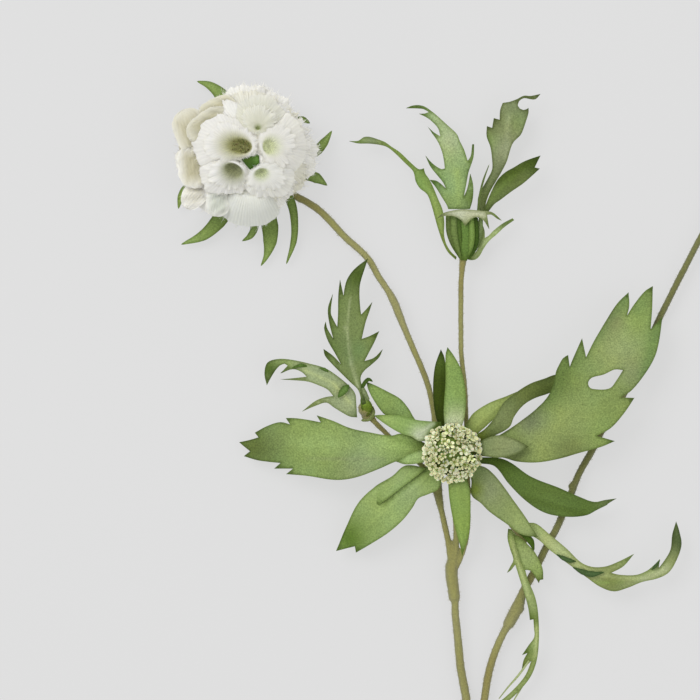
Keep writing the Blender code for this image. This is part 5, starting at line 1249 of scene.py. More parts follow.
def petal(shell, root, heading, spread, profile, tone=WHITE, cup=0.0, lean=0.0, pleats=15, frill=0.45,
          waist=0.45, seed=0, columns=72, rows=13, threads=10, fall=0.1, sway=0.5):
    """Pleated fan on a root place. Its profile gives distance from the root and height."""
    rng = random.Random(seed)
    heading = math.radians(heading)
    spread = math.radians(spread)
    ragged = uneven_rim(rng, columns + 1)
    drift = soft_ripple(rng, 2, 7)
    strength = soft_ripple(rng, 3, 9)
    billow = soft_ripple(rng, 1.5, 5)
    outline = soft_ripple(rng, 2, 9)
    points = []
    dye_and_shade = []
    side = []
    run = []
    for j in range(rows + 1):
        s = j / rows
        far, height = level_between(profile, s)
        for i in range(columns + 1):
            t = -1 + 2 * i / columns
            angle = heading + spread * t * (waist + (1 - waist) * math.sqrt(s))
            fold = math.cos(math.pi * pleats * (t + 1) + 2.2 * drift(t)) * (0.65 + 0.35 * strength(t))
            reach = far * (1 - fall * t ** 4) + s ** 5 * (frill * ragged[i] + 0.8 * outline(t))
            z = height + FAN_DEPTH * fold * min(1.0, 2 * s)
            z += cup * s * t * t + lean * s * t + sway * s * s * billow(t) + 0.12 * s ** 4 * ragged[i]
            points.append(Vector((root[0] + reach * math.cos(angle), root[1] + reach * math.sin(angle), z)))
            blend = FAN_BASE_SHARE * (1 - s) ** 1.6
            # Painted shade: the valleys of the pleats are a little darker.
            crease = 1 - 0.05 * (1 - fold) * min(1.0, 2 * s)
            dye_and_shade.append((tone * (1 - blend) + CREAM * blend) * crease)
            side.append(t * spread * profile[-1][0])
            run.append(far + seed * 7.3)
    sheet_grid(shell, points, columns, rows, False, dye_and_shade, side, run)
    rim = points[rows * (columns + 1):]
    for _ in range(threads):
        i = rng.randrange(1, columns)
        away = (rim[i] - Vector((root[0], root[1], rim[i].z - 1.0))).normalized()
        stray_thread(shell, rim[i], away, rng, 0.5, 2.6, tone)


def stray_thread(shell, rim_place, away, rng, shortest, longest, tone):
    """One curled thread that has frayed out of a rim."""
    length = rng.uniform(shortest, longest)
    stray = Vector([rng.uniform(-0.8, 0.8) for _ in range(3)])
    curl = Vector([rng.uniform(-0.6, 0.6) for _ in range(3)])
    first = rim_place + (away + stray * 0.4) * length * 0.35
    second = first + (away * 0.6 + stray * 0.7) * length * 0.35
    end = second + (stray + curl) * length * 0.35
    fibre(shell, [rim_place - away * 0.3, first, second, end], THREAD_RADIUS, tone)


def lobe(shell, centre, heading, length, width, top, end_drop, side_drop, tone, rim_tone, seed):
    """Rounded petal back, arched over its length and across it, with soft wrinkles and painted shade in their
    folds.
    """
    rng = random.Random(seed)
    heading = math.radians(heading)
    ahead = Vector((math.cos(heading), math.sin(heading), 0))
    across = Vector((-ahead.y, ahead.x, 0))
    outline = soft_ripple(rng, 2, 5)
    hollow = soft_ripple(rng, 1.5, 4)
    wrinkle = soft_ripple(rng, 0.8, 2.2)
    points = []
    dye_and_shade = []
    side = []
    run = []
    for j in range(BACK_ROWS + 1):
        u = -1 + 2 * j / BACK_ROWS
        along = u * length / 2
        wide = width / 2 * math.sqrt(max(0.02, 1 - 0.98 * abs(u) ** 3)) * (1 + 0.05 * outline(u * 3))
        for i in range(BACK_COLUMNS + 1):
            v = -1 + 2 * i / BACK_COLUMNS
            fold = math.cos(math.pi * BACK_PLEATS * (v + 1) + 0.8 * u)
            tuck = abs(wrinkle(0.5 * along + 1.3 * v * width + 9)) ** 0.6
            crumple = 0.7 * wrinkle(0.75 * along + 0.4 * v * width) + 1.1 * (tuck - 0.5)
            z = top - end_drop * u * abs(u) - 0.45 * side_drop * v * v - 0.4 * u ** 4 + BACK_DEPTH * fold
            z += 0.05 * length * hollow(2 * u + v) + 0.26 * crumple
            z += 0.1 * wrinkle(0.3 * along - 1.5 * v * width)
            points.append(Vector((centre[0], centre[1], z)) + ahead * along + across * (v * wide))
            rim_share = min(1.0, max(0.0, (max(abs(v), abs(u)) - 0.35) / 0.65)) ** 1.3 * 0.85
            # Uneven mottle, with painted shade: low folds and wrinkles darker, raised ones lighter.
            mottle_and_fold_shade = 0.95 - 0.18 * hollow(3 * u + 2 * v) + 0.13 * crumple - 0.03 * (1 - fold)
            dye_and_shade.append((tone * mottle_and_fold_shade) * (1 - rim_share) + rim_tone * rim_share)
            side.append(v * width / 2)
            run.append(along + seed * 3.7)
    sheet_grid(shell, points, BACK_COLUMNS, BACK_ROWS, False, dye_and_shade, side, run)
    for k in range(BACK_THREADS):
        j = rng.randrange(BACK_ROWS + 1)
        outer = k % 2
        rim_place = points[j * (BACK_COLUMNS + 1) + outer * BACK_COLUMNS]
        away = across * (2 * outer - 1) + ahead * (j / BACK_ROWS - 0.5)
        stray_thread(shell, rim_place, away, rng, 0.3, 1.1, rim_tone)


def lip_length(lips, angle):
    """Length of a throat's lip in one direction, smoothly between (degrees, length) pairs in rising order."""
    turn = (math.degrees(angle) - lips[0][0]) % 360 + lips[0][0]
    closed = lips + [(lips[0][0] + 360, lips[0][1])]
    for (a, first), (b, second) in zip(closed, closed[1:]):
        if a <= turn <= b:
            t = (turn - a) / (b - a)
            return first + (second - first) * (3 * t * t - 2 * t ** 3)
    return lips[0][1]


def throat_floret(shell, throat, heading, mouth, lips, crest, floor, drop, lean, shade_spread, inner, tone, seed,
                  stamens=0, frill=0.8, rows=22, threads=150):
    """Open funnel seen down its throat, with a pleated lip of its own length in every direction.

    heading is the side that the throat opens to, mouth its half sizes along and across that side, crest and
    floor are heights, lean moves the floor back under the lip, and the value after lean is how far the inner
    colour spreads. The inner colour is the throat's own greenish colour, darkened with painted shade of its
    recess.
    """
    rng = random.Random(seed)
    heading = math.radians(heading)
    ragged = uneven_rim(rng, THROAT_COLUMNS)
    strength = soft_ripple(rng, 3, 9)
    outline = soft_ripple(rng, 2, 8)
    billow = soft_ripple(rng, 2, 5)
    ruffle = soft_ripple(rng, 7, 15)
    ahead = Vector((math.cos(heading), math.sin(heading), 0))
    across = Vector((-ahead.y, ahead.x, 0))
    points = []
    dye_and_shade = []
    side = []
    run = []
    for j in range(rows + 1):
        s = j / rows
        in_neck = s < THROAT_NECK
        u = s / THROAT_NECK if in_neck else (s - THROAT_NECK) / (1 - THROAT_NECK)
        for i in range(THROAT_COLUMNS):
            turn = 2 * math.pi * i / THROAT_COLUMNS
            seam = min(1.0, (math.pi - abs(turn - math.pi)) / 0.6)
            outward = (1 + math.cos(turn)) / 2
            fold = math.cos(THROAT_PLEATS * turn) * (0.65 + 0.35 * strength(turn))
            lip = lip_length(lips, heading + turn)
            rim_place = ahead * (mouth[0] * math.cos(turn)) + across * (mouth[1] * math.sin(turn))
            away = ahead * math.cos(turn) + across * math.sin(turn)
            if in_neck:
                place_at = rim_place * max(0.03, u ** 0.75) - ahead * (lean * (1 - u))
                z = floor + (crest - floor) * u ** (1.3 + 2.4 * (1 - outward))
                spread = u
                far = 0.0
            else:
                far = lip * u
                fray = u ** 4 * (frill * ragged[i] + 0.5 * outline(turn) * seam) * min(1.0, lip / 3)
                place_at = rim_place + away * (far + fray)
                z = crest + 0.4 * math.sin(math.pi * u) * min(1.0, lip / 4) - drop * (lip / 12) ** 1.2 * u * u
                z += (0.6 * billow(turn) + 0.7 * ruffle(turn)) * u * u * seam * min(1.0, lip / 5)
                spread = 1 + far / mouth[0]
            # Painted shade: the inner colour, darkened for the shade of the recess, fills the neck and
            # spreads out
            start = 0.93 - 0.5 * outward
            stop = 1.02 + shade_spread * outward
            share = min(1.0, max(0.0, (spread - start) / (stop - start)))
            dark = 1 - share * share * (3 - 2 * share)
            z += THROAT_DEPTH * fold * min(1.0, 2 * s) * (0.3 + 0.7 * outward)
            points.append(Vector((throat[0], throat[1], z)) + place_at)
            mottle = 1 + 0.5 * dark * rng.uniform(-1, 1)
            # Painted shade: the valleys of the pleats are a little darker.
            crease = 1 - 0.045 * (1 - fold) * min(1.0, 2 * s)
            paler = 0.0 if in_neck else 0.55 * u * u
            lip_tone = tone * (1 - paler) + WHITE * paler
            dye_and_shade.append((lip_tone * (1 - dark) + inner * mottle * dark) * crease)
            side.append(turn * (mouth[0] + 5))
            run.append(far + seed * 5.1)
    sheet_grid(shell, points, THROAT_COLUMNS, rows, True, dye_and_shade, side, run)
    rim = points[rows * THROAT_COLUMNS:]
    for _ in range(threads):
        i = rng.randrange(THROAT_COLUMNS)
        away = Vector((rim[i].x - throat[0], rim[i].y - throat[1], 0.0)).normalized()
        stray_thread(shell, rim[i], away, rng, 0.4, 1.5, WHITE)
    for _ in range(stamens):
        turn = rng.uniform(0, 6.28)
        out = 0.85 * math.sqrt(rng.random())
        foot = Vector((throat[0], throat[1], floor)) - ahead * (lean * 0.4)
        foot += ahead * (mouth[0] * out * math.cos(turn)) + across * (mouth[1] * out * math.sin(turn))
        top = foot + Vector((rng.uniform(-0.3, 0.3), rng.uniform(-0.3, 0.3), rng.uniform(0.8, 2.4)))
        fibre(shell, [foot, top], 0.1, inner)
        verts, faces = lump(top, (rng.uniform(0.14, 0.3), rng.uniform(0.14, 0.3), 0.25), 6, 4)
        shell.add(verts, faces, rng.choice((inner * 0.5, inner * 1.2, BROWN * 0.8, DEEP, inner * 0.85)))


# Outer fans round the bloom: heading, half spread, reach from its middle, height at the rim, tone
OUTER_FANS = [
    (-118, 24, 22.0, 16.0, SILVER), (-140, 22, 25.0, 15.5, WHITE), (-163, 24, 24.4, 15.5, WHITE),
    (180, 24, 24.4, 16.0, IVORY), (157, 24, 25.2, 16.5, IVORY), (133, 22, 23.6, 17.0, IVORY),
    (112, 18, 21.0, 18.0, CREAM), (90, 24, 25.8, 16.0, WHITE), (70, 26, 24.8, 15.5, WHITE),
    (48, 22, 22.0, 15.5, CREAM), (26, 22, 23.0, 15.5, WHITE), (4, 26, 24.2, 15.5, WHITE),
    (-18, 24, 21.8, 15.5, CREAM), (-40, 22, 20.4, 15.5, WHITE), (-62, 20, 21.0, 15.5, WHITE)]
# Shoulder fans: heading, half spread, reach, height at the rim, tone
INNER_FANS = [
    (102, 24, 22.4, 21.0, WHITE), (84, 24, 23.6, 20.5, CREAM), (64, 26, 22.4, 20.0, WHITE),
    (46, 24, 20.0, 21.0, WHITE), (30, 24, 20.8, 20.0, CREAM), (10, 26, 22.4, 20.0, WHITE),
    (-10, 24, 20.8, 19.5, CREAM), (-32, 24, 18.8, 19.5, WHITE), (-54, 22, 18.6, 19.5, CREAM)]
# Petal backs on the left: place, heading, length, width, top, drop along, drop across, tone, rim tone
PETAL_BACKS = [
    ((-56.0, 77.6), 116, 18.4, 13.0, 21.8, 1.6, 2.6, paint(190, 184, 157), paint(230, 227, 214)),
    ((-47.0, 84.8), 27, 15.0, 11.0, 22.2, -0.8, 2.6, paint(188, 182, 153), paint(228, 225, 208)),
    ((-50.6, 80.4), 34, 17.0, 10.0, 24.2, 0.4, 2.6, paint(186, 181, 152), paint(230, 227, 212)),
    ((-60.2, 67.6), 96, 8.0, 4.4, 19.0, 0.6, 1.4, CREAM, WHITE),
    ((-55.4, 65.8), 96, 16.0, 12.4, 22.8, 0.8, 2.8, paint(188, 182, 154), WHITE),
    ((-54.6, 56.8), 232, 14.5, 8.6, 20.4, 2.6, 1.8, paint(222, 218, 206), WHITE),
    # The grey arch lobe: its grey tone is painted shade on the curled petal.
    ((-47.2, 53.0), 262, 10.4, 8.6, 22.4, 2.0, 3.0, paint(208, 212, 200), WHITE)]


# Share of a throat's lip that its shorter second lip covers
RUFFLE_SHARE = 0.62

# Throats, in degrees and millimetres: place, heading, mouth, lips, crest, floor, drop, lean, shade reach and
# looks
# The inner colour of each throat is its own greenish colour, darkened with painted shade of the recess.
THROATS = [
    ((-39.4, 72.6), 174, (4.7, 3.0), [(0, 2.2), (40, 3.6), (90, 6.4), (130, 10.8), (172, 12.4), (205, 11.4),
     (228, 6.5), (252, 2.2), (290, 1.2), (325, 1.6)], 29.0, 26.2, 6.0, 0.8, 1.5,
     {"inner": paint(164, 164, 104), "tone": paint(244, 241, 234), "stamens": 110}),
    ((-41.5, 64.0), 244, (2.5, 3.4), [(0, 2.0), (50, 1.0), (95, 0.9), (125, 1.6), (150, 5.0), (178, 9.0),
     (215, 9.4), (250, 6.2), (280, 5.2), (315, 3.4)], 28.4, 25.6, 7.0, 1.0, 2.1,
     {"inner": paint(146, 150, 112), "tone": paint(242, 240, 234)}),
    ((-28.8, 72.4), 10, (2.4, 2.6), [(10, 11.0), (50, 11.0), (90, 8.5), (130, 4.5), (180, 1.8), (225, 1.4),
     (270, 5.0), (320, 10.0)], 28.6, 27.2, 6.0, 0.3, 1.8,
     {"inner": paint(208, 214, 170), "tone": paint(240, 237, 226)}),
    ((-31.6, 63.0), 285, (1.8, 2.4), [(20, 8.5), (60, 4.0), (95, 1.8), (130, 1.3), (170, 2.8), (215, 5.4),
     (250, 6.4), (285, 6.8), (330, 10.0)], 28.3, 26.6, 5.5, 0.4, 1.4,
     {"inner": paint(200, 208, 166), "tone": paint(236, 235, 226)}),
    ((-32.8, 79.0), 82, (0.8, 0.9), [(0, 8.0), (40, 10.5), (82, 11.5), (130, 11.0), (175, 7.0), (230, 3.0),
     (290, 2.4)], 28.4, 27.7, 6.0, 0.2, 1.6,
     {"inner": paint(184, 194, 138), "tone": paint(220, 219, 196)})]


def fan_row(shell, fans, start, foot, shoulder, threads):
    """A row of fans round the bloom, from a foot height up over a shoulder and down to each rim."""
    for k, (heading, spread, reach, rim, tone) in enumerate(fans):
        away = Vector((math.cos(math.radians(heading)), math.sin(math.radians(heading))))
        root = BLOOM.xy + away * start
        length = reach - start
        profile = [(0, foot), (length * 0.4, shoulder), (length * 0.75, shoulder - 0.9), (length, rim)]
        frayed = -35 < heading < 115
        petal(shell, root, heading, spread * 1.2, profile, tone=tone, cup=-1.2, lean=0.7, seed=k + foot * 10,
              pleats=(11, 17, 13, 19)[k % 4], fall=0.05, sway=0.9, threads=threads if frayed else 14,
              frill=1.5 if frayed else 0.8)


def make_bloom():
    """The bloom's outer petals round a hidden core, and then the pieces on top of it."""
    shell = Shell()
    core = turned((BLOOM.x + 0.5, BLOOM.y - 0.3),
                  [(4.6, CALYX_TOP + 0.1), (6.5, 8.0), (8.5, 9.5), (11, 14), (11, 17), (8.5, 19.0),
                   (3, 19.6)])
    shell.add(*core, CREAM)
    for k in range(9):
        petal(shell, (BLOOM.x, BLOOM.y), 22 + 40 * k, 27, [(6.5, 11.5), (11, 12.8), (16, 12.0), (20.0, 9.8)],
              seed=200 + k, waist=0.6, threads=4, columns=40, rows=8)
    fan_row(shell, OUTER_FANS, 5.5, 18, 21.5, 70)
    fan_row(shell, INNER_FANS, 6.0, 20, 25, 60)
    for k, back in enumerate(PETAL_BACKS):
        lobe(shell, *back, seed=20 + k)
    shell.piece("bloom_cloth", PETAL_CLOTH, ["bloom_petals"], sharp=70)
    make_bloom_throats()
    make_bloom_ruffles()
    make_bloom_heart()


def make_bloom_throats():
    """The open florets on top of the bloom, and the fan that hangs below them."""
    shell = Shell()
    shell.add(*turned((-35.2, 67.9), [(2.0, 19.0), (2.6, 26.0), (2.2, 27.0), (0.8, 27.3)], 18), CREAM)
    petal(shell, (-35.2, 67.2), -92, 33, [(8.0, 24), (13.0, 25.4), (18.0, 22.6), (22.8, 15.5)],
          tone=paint(234, 236, 229), cup=-2.0, seed=90, waist=0.9, fall=0.16, pleats=21, columns=126,
          threads=24)
    for k, (*form, looks) in enumerate(THROATS):
        throat_floret(shell, *form, seed=60 + k, **looks)
    shell.piece("bloom_throats", PETAL_CLOTH, sharp=70)


def make_bloom_ruffles():
    """A shorter second lip on each throat, so that petals overlap in torn layers, and cloth between them."""
    shell = Shell()
    gap = [(-40.2, 68.3), (-38, 69.8), (-36, 70.6), (-33.4, 72), (-31, 70.6), (-30.8, 67.6), (-31, 65.4),
           (-33.4, 64.6), (-35.5, 63.2), (-37.4, 65.2), (-38.8, 66.8)]
    gap_rib = [(-38.4, 68.2, 27.5), (-35.4, 67.8, 27.6), (-32.4, 67.4, 27.5)]
    blade(shell, gap, gap_rib, WHITE, under=CREAM, step=0.9, crease=0.0, ripple=0.0)
    for k, (throat, heading, mouth, lips, crest, floor, drop, lean, shade_spread, looks) in enumerate(THROATS):
        short = [(angle, length * RUFFLE_SHARE) for angle, length in lips]
        throat_floret(shell, throat, heading, mouth, short, crest + 0.35, floor, drop * 0.5, lean, shade_spread,
                      looks["inner"], looks["tone"], seed=160 + k, frill=1.5, rows=16, threads=190)
    shell.piece("bloom_ruffles", PETAL_CLOTH, sharp=70)


def make_bloom_heart():
    """Green cloth that shows in the gap between the throats."""
    shell = Shell()
    outline = [(-38.9, 68.2), (-37, 69.0), (-33.6, 70.4), (-32.4, 69.2), (-32.2, 66.4), (-33.4, 65.4),
               (-35.6, 64.2), (-37.0, 65.8)]
    blade(shell, outline, [(-38.4, 68.2, 28.0), (-35.4, 67.8, 28.3), (-32.4, 67.4, 28.0)], paint(62, 92, 30),
          under=DARK, step=0.7, crease=0.25, ripple=0.0, smooth=False,
          patches=[(-33, 68, 1.4, paint(110, 150, 70), 0.6), (-36.8, 67.6, 1.2, DARK, 0.6)])
    shell.piece("bloom_heart", LEAF_CLOTHS["leaf_dark"])


def make_bloom_calyx():
    shell = Shell()
    cup = turned(CALYX, [(2.2, 0.0), (3.2, 0.35), (4.0, 1.0), (4.6, 2.0), (5.0, 3.6), (5.1, 5.2), (4.9, 6.5),
                         (4.5, CALYX_TOP)])
    shell.add(*cup, MID)
    for path in BLOOM_BRACTS:
        tip = path[-1]
        strap(shell, path, paint(122, 144, 78), cup=-0.06, step=1.0, crease=0.2,
              patches=[(tip[0], tip[1], 7, LIGHT, 0.6),
                       (path[0][0], path[0][1], 17, paint(84, 108, 44), 0.85)])
    shell.piece("bloom_calyx_cloth", LEAF_CLOTHS["leaf_green"], ["bloom_calyx"])


# Upper shoot

def make_upper_shoot():
    leaf("upper_leaf_long", "leaf_pale", SHOOT_LONG, SHOOT_LONG_RIB, paint(138, 160, 88), tilt=0.25,
         patches=[(8, 75.5, 5, paint(122, 134, 96), 0.9), (25, 60, 5, paint(118, 150, 80), 0.7),
                  (35, 38, 6, STRAW, 0.5)],
         strokes=[(30, 57, 20, 69, 0.7, DEEP, 0.35)])
    leaf("upper_leaf_middle", "leaf_green", SHOOT_MIDDLE, SHOOT_MIDDLE_RIB, paint(141, 165, 108), cup=-0.02,
         patches=[(36, 76, 6, MIST, 0.8), (32, 84, 4, MIST, 0.5), (30, 61, 4, paint(92, 124, 62), 0.9),
                  (28, 68.5, 3.4, paint(92, 124, 62), 0.85), (23, 87.5, 4, DEEP, 0.7),
                  (43.6, 55, 3.4, DEEP, 0.9), (28.6, 78.6, 3, paint(92, 124, 62), 0.8),
                  (36, 54, 4, MID, 0.6)],
         strokes=[(39.2, 52, 38.6, 64, 1.3, LIGHT, 0.8), (42.6, 68, 39.6, 77, 0.9, MID, 0.6)])
    leaf("upper_leaf_bitten", "leaf_grey", SHOOT_BITTEN, SHOOT_BITTEN_RIB, paint(118, 128, 88), cup=0.01,
         extra=[([(46.0, 50, 8.0, 0.3), (46.6, 55, 8.4, 0.4), (48.0, 61, 8.6, 0.35), (50.2, 67, 8.4, 0.12)],
                 paint(118, 134, 84))],
         patches=[(50, 75, 4, MID, 0.7), (56, 72, 5, paint(150, 156, 120), 0.6), (57, 86, 5, GREY, 0.5),
                  (49, 55, 6, paint(108, 124, 70), 0.7), (61, 82, 4, FRESH, 0.3)],
         strokes=[(50.4, 64, 49.6, 77, 0.9, DEEP, 0.6), (56, 68, 57, 84, 0.8, MIST, 0.35)])
    leaf("upper_leaf_split", "leaf_dark", SHOOT_SPLIT, SHOOT_SPLIT_RIB, paint(102, 117, 66), tilt=0.15,
         patches=[(66, 67, 4, DARK, 0.8), (57, 64, 4, DARK, 0.7)],
         strokes=[(52.5, 60, 67, 69, 1.6, DARK, 0.8), (50, 54, 58, 62, 1.2, DEEP, 0.6)])
    leaf("upper_leaf_sheath", "leaf_pale", SHOOT_SHEATH, SHOOT_SHEATH_RIB, paint(172, 190, 132),
         patches=[(57, 46, 4, paint(110, 128, 84), 0.9), (48, 42, 3, PALE, 0.5)])
    leaf("upper_leaf_arched", "leaf_grey", SHOOT_ARCH, SHOOT_ARCH_RIB, BEIGE, tilt=0.25, under=BEIGE,
         patches=[(32, 47.6, 3, GREY, 0.9), (53, 48, 3, MID, 0.9), (49.6, 45, 2.6, MID, 0.8),
                  (43, 45.4, 2.4, PALE, 0.6)])
    make_upper_bud()


# Bracts of the upper bud, each a path of x, y, z and half width, and its tone
BUD_BRACTS = [
    ([(41, 32.8, 4.6, 1.4), (41, 38, 2.7, 3.0), (41.2, 43, 2.5, 3.2), (41, 48.6, 3.4, 2.4)], MID),
    ([(40.2, 33.0, 6.4, 0.7), (37.2, 38.5, 7.4, 1.1), (35.9, 43, 7.8, 1.3), (35.4, 49.2, 8.4, 0.9)],
     paint(118, 138, 76)),
    ([(42.6, 33.0, 6.4, 0.6), (45.6, 38, 7.6, 1.1), (46.6, 42, 8.2, 1.2), (47.2, 48.4, 8.6, 0.6)],
     paint(150, 172, 112)),
    ([(40.6, 32.6, 7.8, 0.8), (39.0, 37.5, 9.4, 1.5), (38.0, 42, 10.0, 1.9), (37.6, 49.0, 9.8, 1.6)],
     paint(122, 144, 78)),
    ([(42.4, 32.8, 7.8, 0.7), (44.3, 36.5, 9.4, 1.2), (45.2, 40, 10.0, 1.3), (45.2, 48.0, 10.0, 0.8)],
     paint(72, 100, 32)),
    ([(42.0, 33.2, 8.4, 0.5), (43.4, 37, 10.3, 0.9), (43.8, 41, 10.9, 1.1), (43.6, 48.6, 10.7, 0.9)],
     paint(134, 164, 84)),
    ([(41.3, 32.4, 8.0, 0.9), (41.5, 36, 9.9, 1.6), (41.4, 40.5, 10.7, 1.9), (41.0, 48.4, 10.7, 1.5)],
     paint(110, 142, 66)),
    ([(40.4, 33.6, 8.4, 0.3), (39.9, 37.5, 10.2, 0.6), (39.4, 42.0, 11.0, 0.8), (39.0, 48.6, 10.7, 0.6)],
     paint(92, 118, 50))]


def make_upper_bud():
    """Narrow cup of loosely folded bracts at the foot of the upper leaves."""
    shell = Shell()
    shell.add(*lump((41.2, 40.4, 6.6), (4.6, 7.4, 3.3)), paint(64, 88, 26))
    for path, tone in BUD_BRACTS:
        foot = path[0]
        strap(shell, path, tone * 0.74, step=0.8, crease=0.3,
              patches=[(foot[0], foot[1], 2.6, paint(88, 112, 44), 0.7)])
    shell.piece("upper_bud_cloth", LEAF_CLOTHS["leaf_green"], ["upper_shoot_bud"])


# Left shoot, with the curled teeth of its arched leaf as paths of x, y, z and half width

LEFT_CURLS = [[(-0.4, -12.6, 9.6, 0.2), (-1.6, -13.8, 10.4, 1.3), (-3.0, -15.4, 10.4, 1.2),
               (-4.4, -17.2, 10.2, 0.15)],
              [(-7.6, -8.0, 10.2, 0.15), (-9.2, -6.9, 11.0, 0.6), (-11.2, -6.5, 11.0, 0.15)],
              [(-14.6, -6.2, 10.4, 0.15), (-17.6, -5.5, 11.2, 0.7), (-21.2, -6.6, 11.0, 0.15)]]


def make_left_shoot():
    leaf("left_leaf_upright", "leaf_grey", LEFT_UPRIGHT, LEFT_UPRIGHT_RIB, paint(114, 130, 78), cup=0.012,
         patches=[(3, 27, 7, paint(68, 86, 26), 0.95), (-7, 0, 4, DEEP, 0.7), (-8, 9, 3.4, DEEP, 0.7),
                  (-6.4, 16, 3, DEEP, 0.7), (9.4, 5, 3, DEEP, 0.6), (10, -2.4, 3, DEEP, 0.6),
                  (7, 14.6, 3, DEEP, 0.5), (3, 0, 4, paint(104, 132, 82), 0.6)],
         strokes=[(4.2, -17, 0.4, -5, 0.5, MIST, 0.7), (0.4, -5, -1.2, 8, 0.45, MIST, 0.6),
                  (-1.2, 8, 0, 18, 0.4, MIST, 0.35), (1.0, -9, -2.0, 4, 1.8, paint(104, 124, 84), 0.3)])
    leaf("left_leaf_arched", "leaf_grey", LEFT_ARCHED, LEFT_ARCHED_RIB, paint(143, 157, 116), cup=-0.012,
         extra=[(path, paint(96, 126, 62)) for path in LEFT_CURLS],
         patches=[(-29, -7, 6, paint(78, 100, 36), 1.0), (-14, -17, 6, PALE, 0.5), (0, -20, 5, MIST, 0.6),
                  (-23, -5.4, 3.5, MID, 0.6)],
         strokes=[(0, -19, -6, -12, 0.7, PALE, 0.8), (-6, -12, -16, -7.4, 0.6, PALE, 0.6)])
    shell = Shell()
    strap(shell,
          [(5.3, -15.2, 9.8, 0.7), (5.2, -18.0, 10.0, 1.5), (6.0, -20.4, 9.9, 2.1), (5.8, -22.8, 8.6, 1.3),
                  (5.2, -24.0, 7.2, 0.3)], paint(100, 124, 34), step=0.9,
          patches=[(5, -23.4, 1.8, BROWN, 0.6), (5.2, -15.6, 2.2, MIST, 0.8)])
    strap(shell, [(4.4, -13.2, 10.6, 0.5), (5.2, -15.4, 11.0, 0.9), (6.8, -18.2, 10.6, 0.5)], GREY, step=0.8)
    strap(shell,
          [(8.0, -20.4, 8.4, 0.4), (8.4, -22.6, 8.0, 0.7), (6.8, -24.8, 7.2, 0.8), (4.0, -25.4, 6.4, 0.4)],
          paint(146, 156, 104), step=0.9)
    strap(shell,
          [(4.2, -14.6, 10.4, 0.3), (4.8, -12.6, 11.0, 0.7), (6.6, -10.6, 11.2, 0.7),
           (8.2, -11.4, 10.8, 0.15)],
          paint(72, 98, 34), step=0.7)
    shell.piece("left_shoot_cup", LEAF_CLOTHS["leaf_green"])


# Lower right shoot, with the curled teeth of its curved leaf

LOWER_CURLS = [[(74.4, -73.6, 10.2, 0.15), (76.6, -74.8, 10.8, 0.8), (79.2, -75.8, 11.0, 0.8),
                (81.4, -76.0, 10.8, 0.15)],
               [(80.2, -78.2, 10.0, 0.15), (83.6, -79.8, 10.6, 1.0), (87.2, -80.6, 10.9, 1.1),
                (91.6, -79.8, 10.9, 0.15)],
               [(108.6, -79.2, 8.4, 0.15), (110.0, -77.8, 9.0, 0.6), (111.7, -75.6, 9.0, 0.15)]]


def make_lower_shoot():
    leaf("lower_leaf_curved", "leaf_pale", CURVED_LEAF, CURVED_LEAF_RIB, paint(158, 170, 116), tilt=0.12,
         extra=[(path, paint(72, 96, 56)) for path in LOWER_CURLS],
         patches=[(118, -67, 9, paint(66, 82, 42), 1.0), (109, -79, 4, MID, 0.7), (100, -75.6, 4, MID, 0.6),
                  (94, -83.6, 7, paint(116, 127, 68), 0.9), (66, -65, 4, LIGHT, 0.5)],
         strokes=[(66, -66, 82, -78, 0.8, PALE, 0.6), (106, -82.6, 114, -78.8, 1.5, MIST, 0.9),
                  (119.4, -71, 118, -63, 1.6, paint(84, 100, 60), 0.8), (88, -80.6, 104, -82, 0.7, PALE, 0.5),
                  (86, -83.5, 98, -83.8, 0.5, FRESH, 0.5)])
    leaf("lower_leaf_hanging", "leaf_pale", HANGING_LEAF, HANGING_LEAF_RIB, paint(140, 156, 98),
         patches=[(65.4, -96.5, 2.6, DEEP, 0.85), (63.4, -108.5, 3.4, DEEP, 0.85),
                  (62.6, -113, 2.6, OLIVE, 0.7), (58, -68, 3, LIGHT, 0.5), (57.4, -78.4, 2.2, PALE, 0.6),
                  (62, -78, 4, STRAW, 0.8)],
         strokes=[(58.4, -69, 64, -89, 0.7, PALE, 0.6), (67.2, -100, 67.2, -110, 0.8, PALE, 0.6)])
    leaf("lower_leaf_short", "leaf_green", SHORT_LEAF, SHORT_LEAF_RIB, paint(142, 158, 98),
         patches=[(67.4, -80, 4, FRESH, 0.5), (61.6, -68.5, 2.4, DEEP, 0.6)])
    shell = Shell()
    strap(shell,
          [(60.6, -65.6, 9.6, 0.3), (62.8, -66.6, 10.4, 1.0), (65.0, -68.8, 10.6, 1.2),
           (66.2, -72.2, 9.8, 0.2)],
          paint(66, 92, 20), step=0.8)
    strap(shell,
          [(64.6, -112, 6.6, 0.35), (60.6, -117.4, 6.4, 0.4), (57, -121.6, 5.8, 0.3),
           (53.6, -126, 4.8, 0.15)],
          MIST, step=0.8)
    strap(shell,
          [(66.6, -110, 6.2, 0.3), (64.2, -117.4, 5.6, 0.35), (60.8, -123.6, 4.8, 0.3),
           (58, -128.4, 4.0, 0.12)],
          MIST, step=0.8)
    shell.piece("lower_shoot_cup", LEAF_CLOTHS["leaf_dark"])


# Closed bud at the end of the right branch

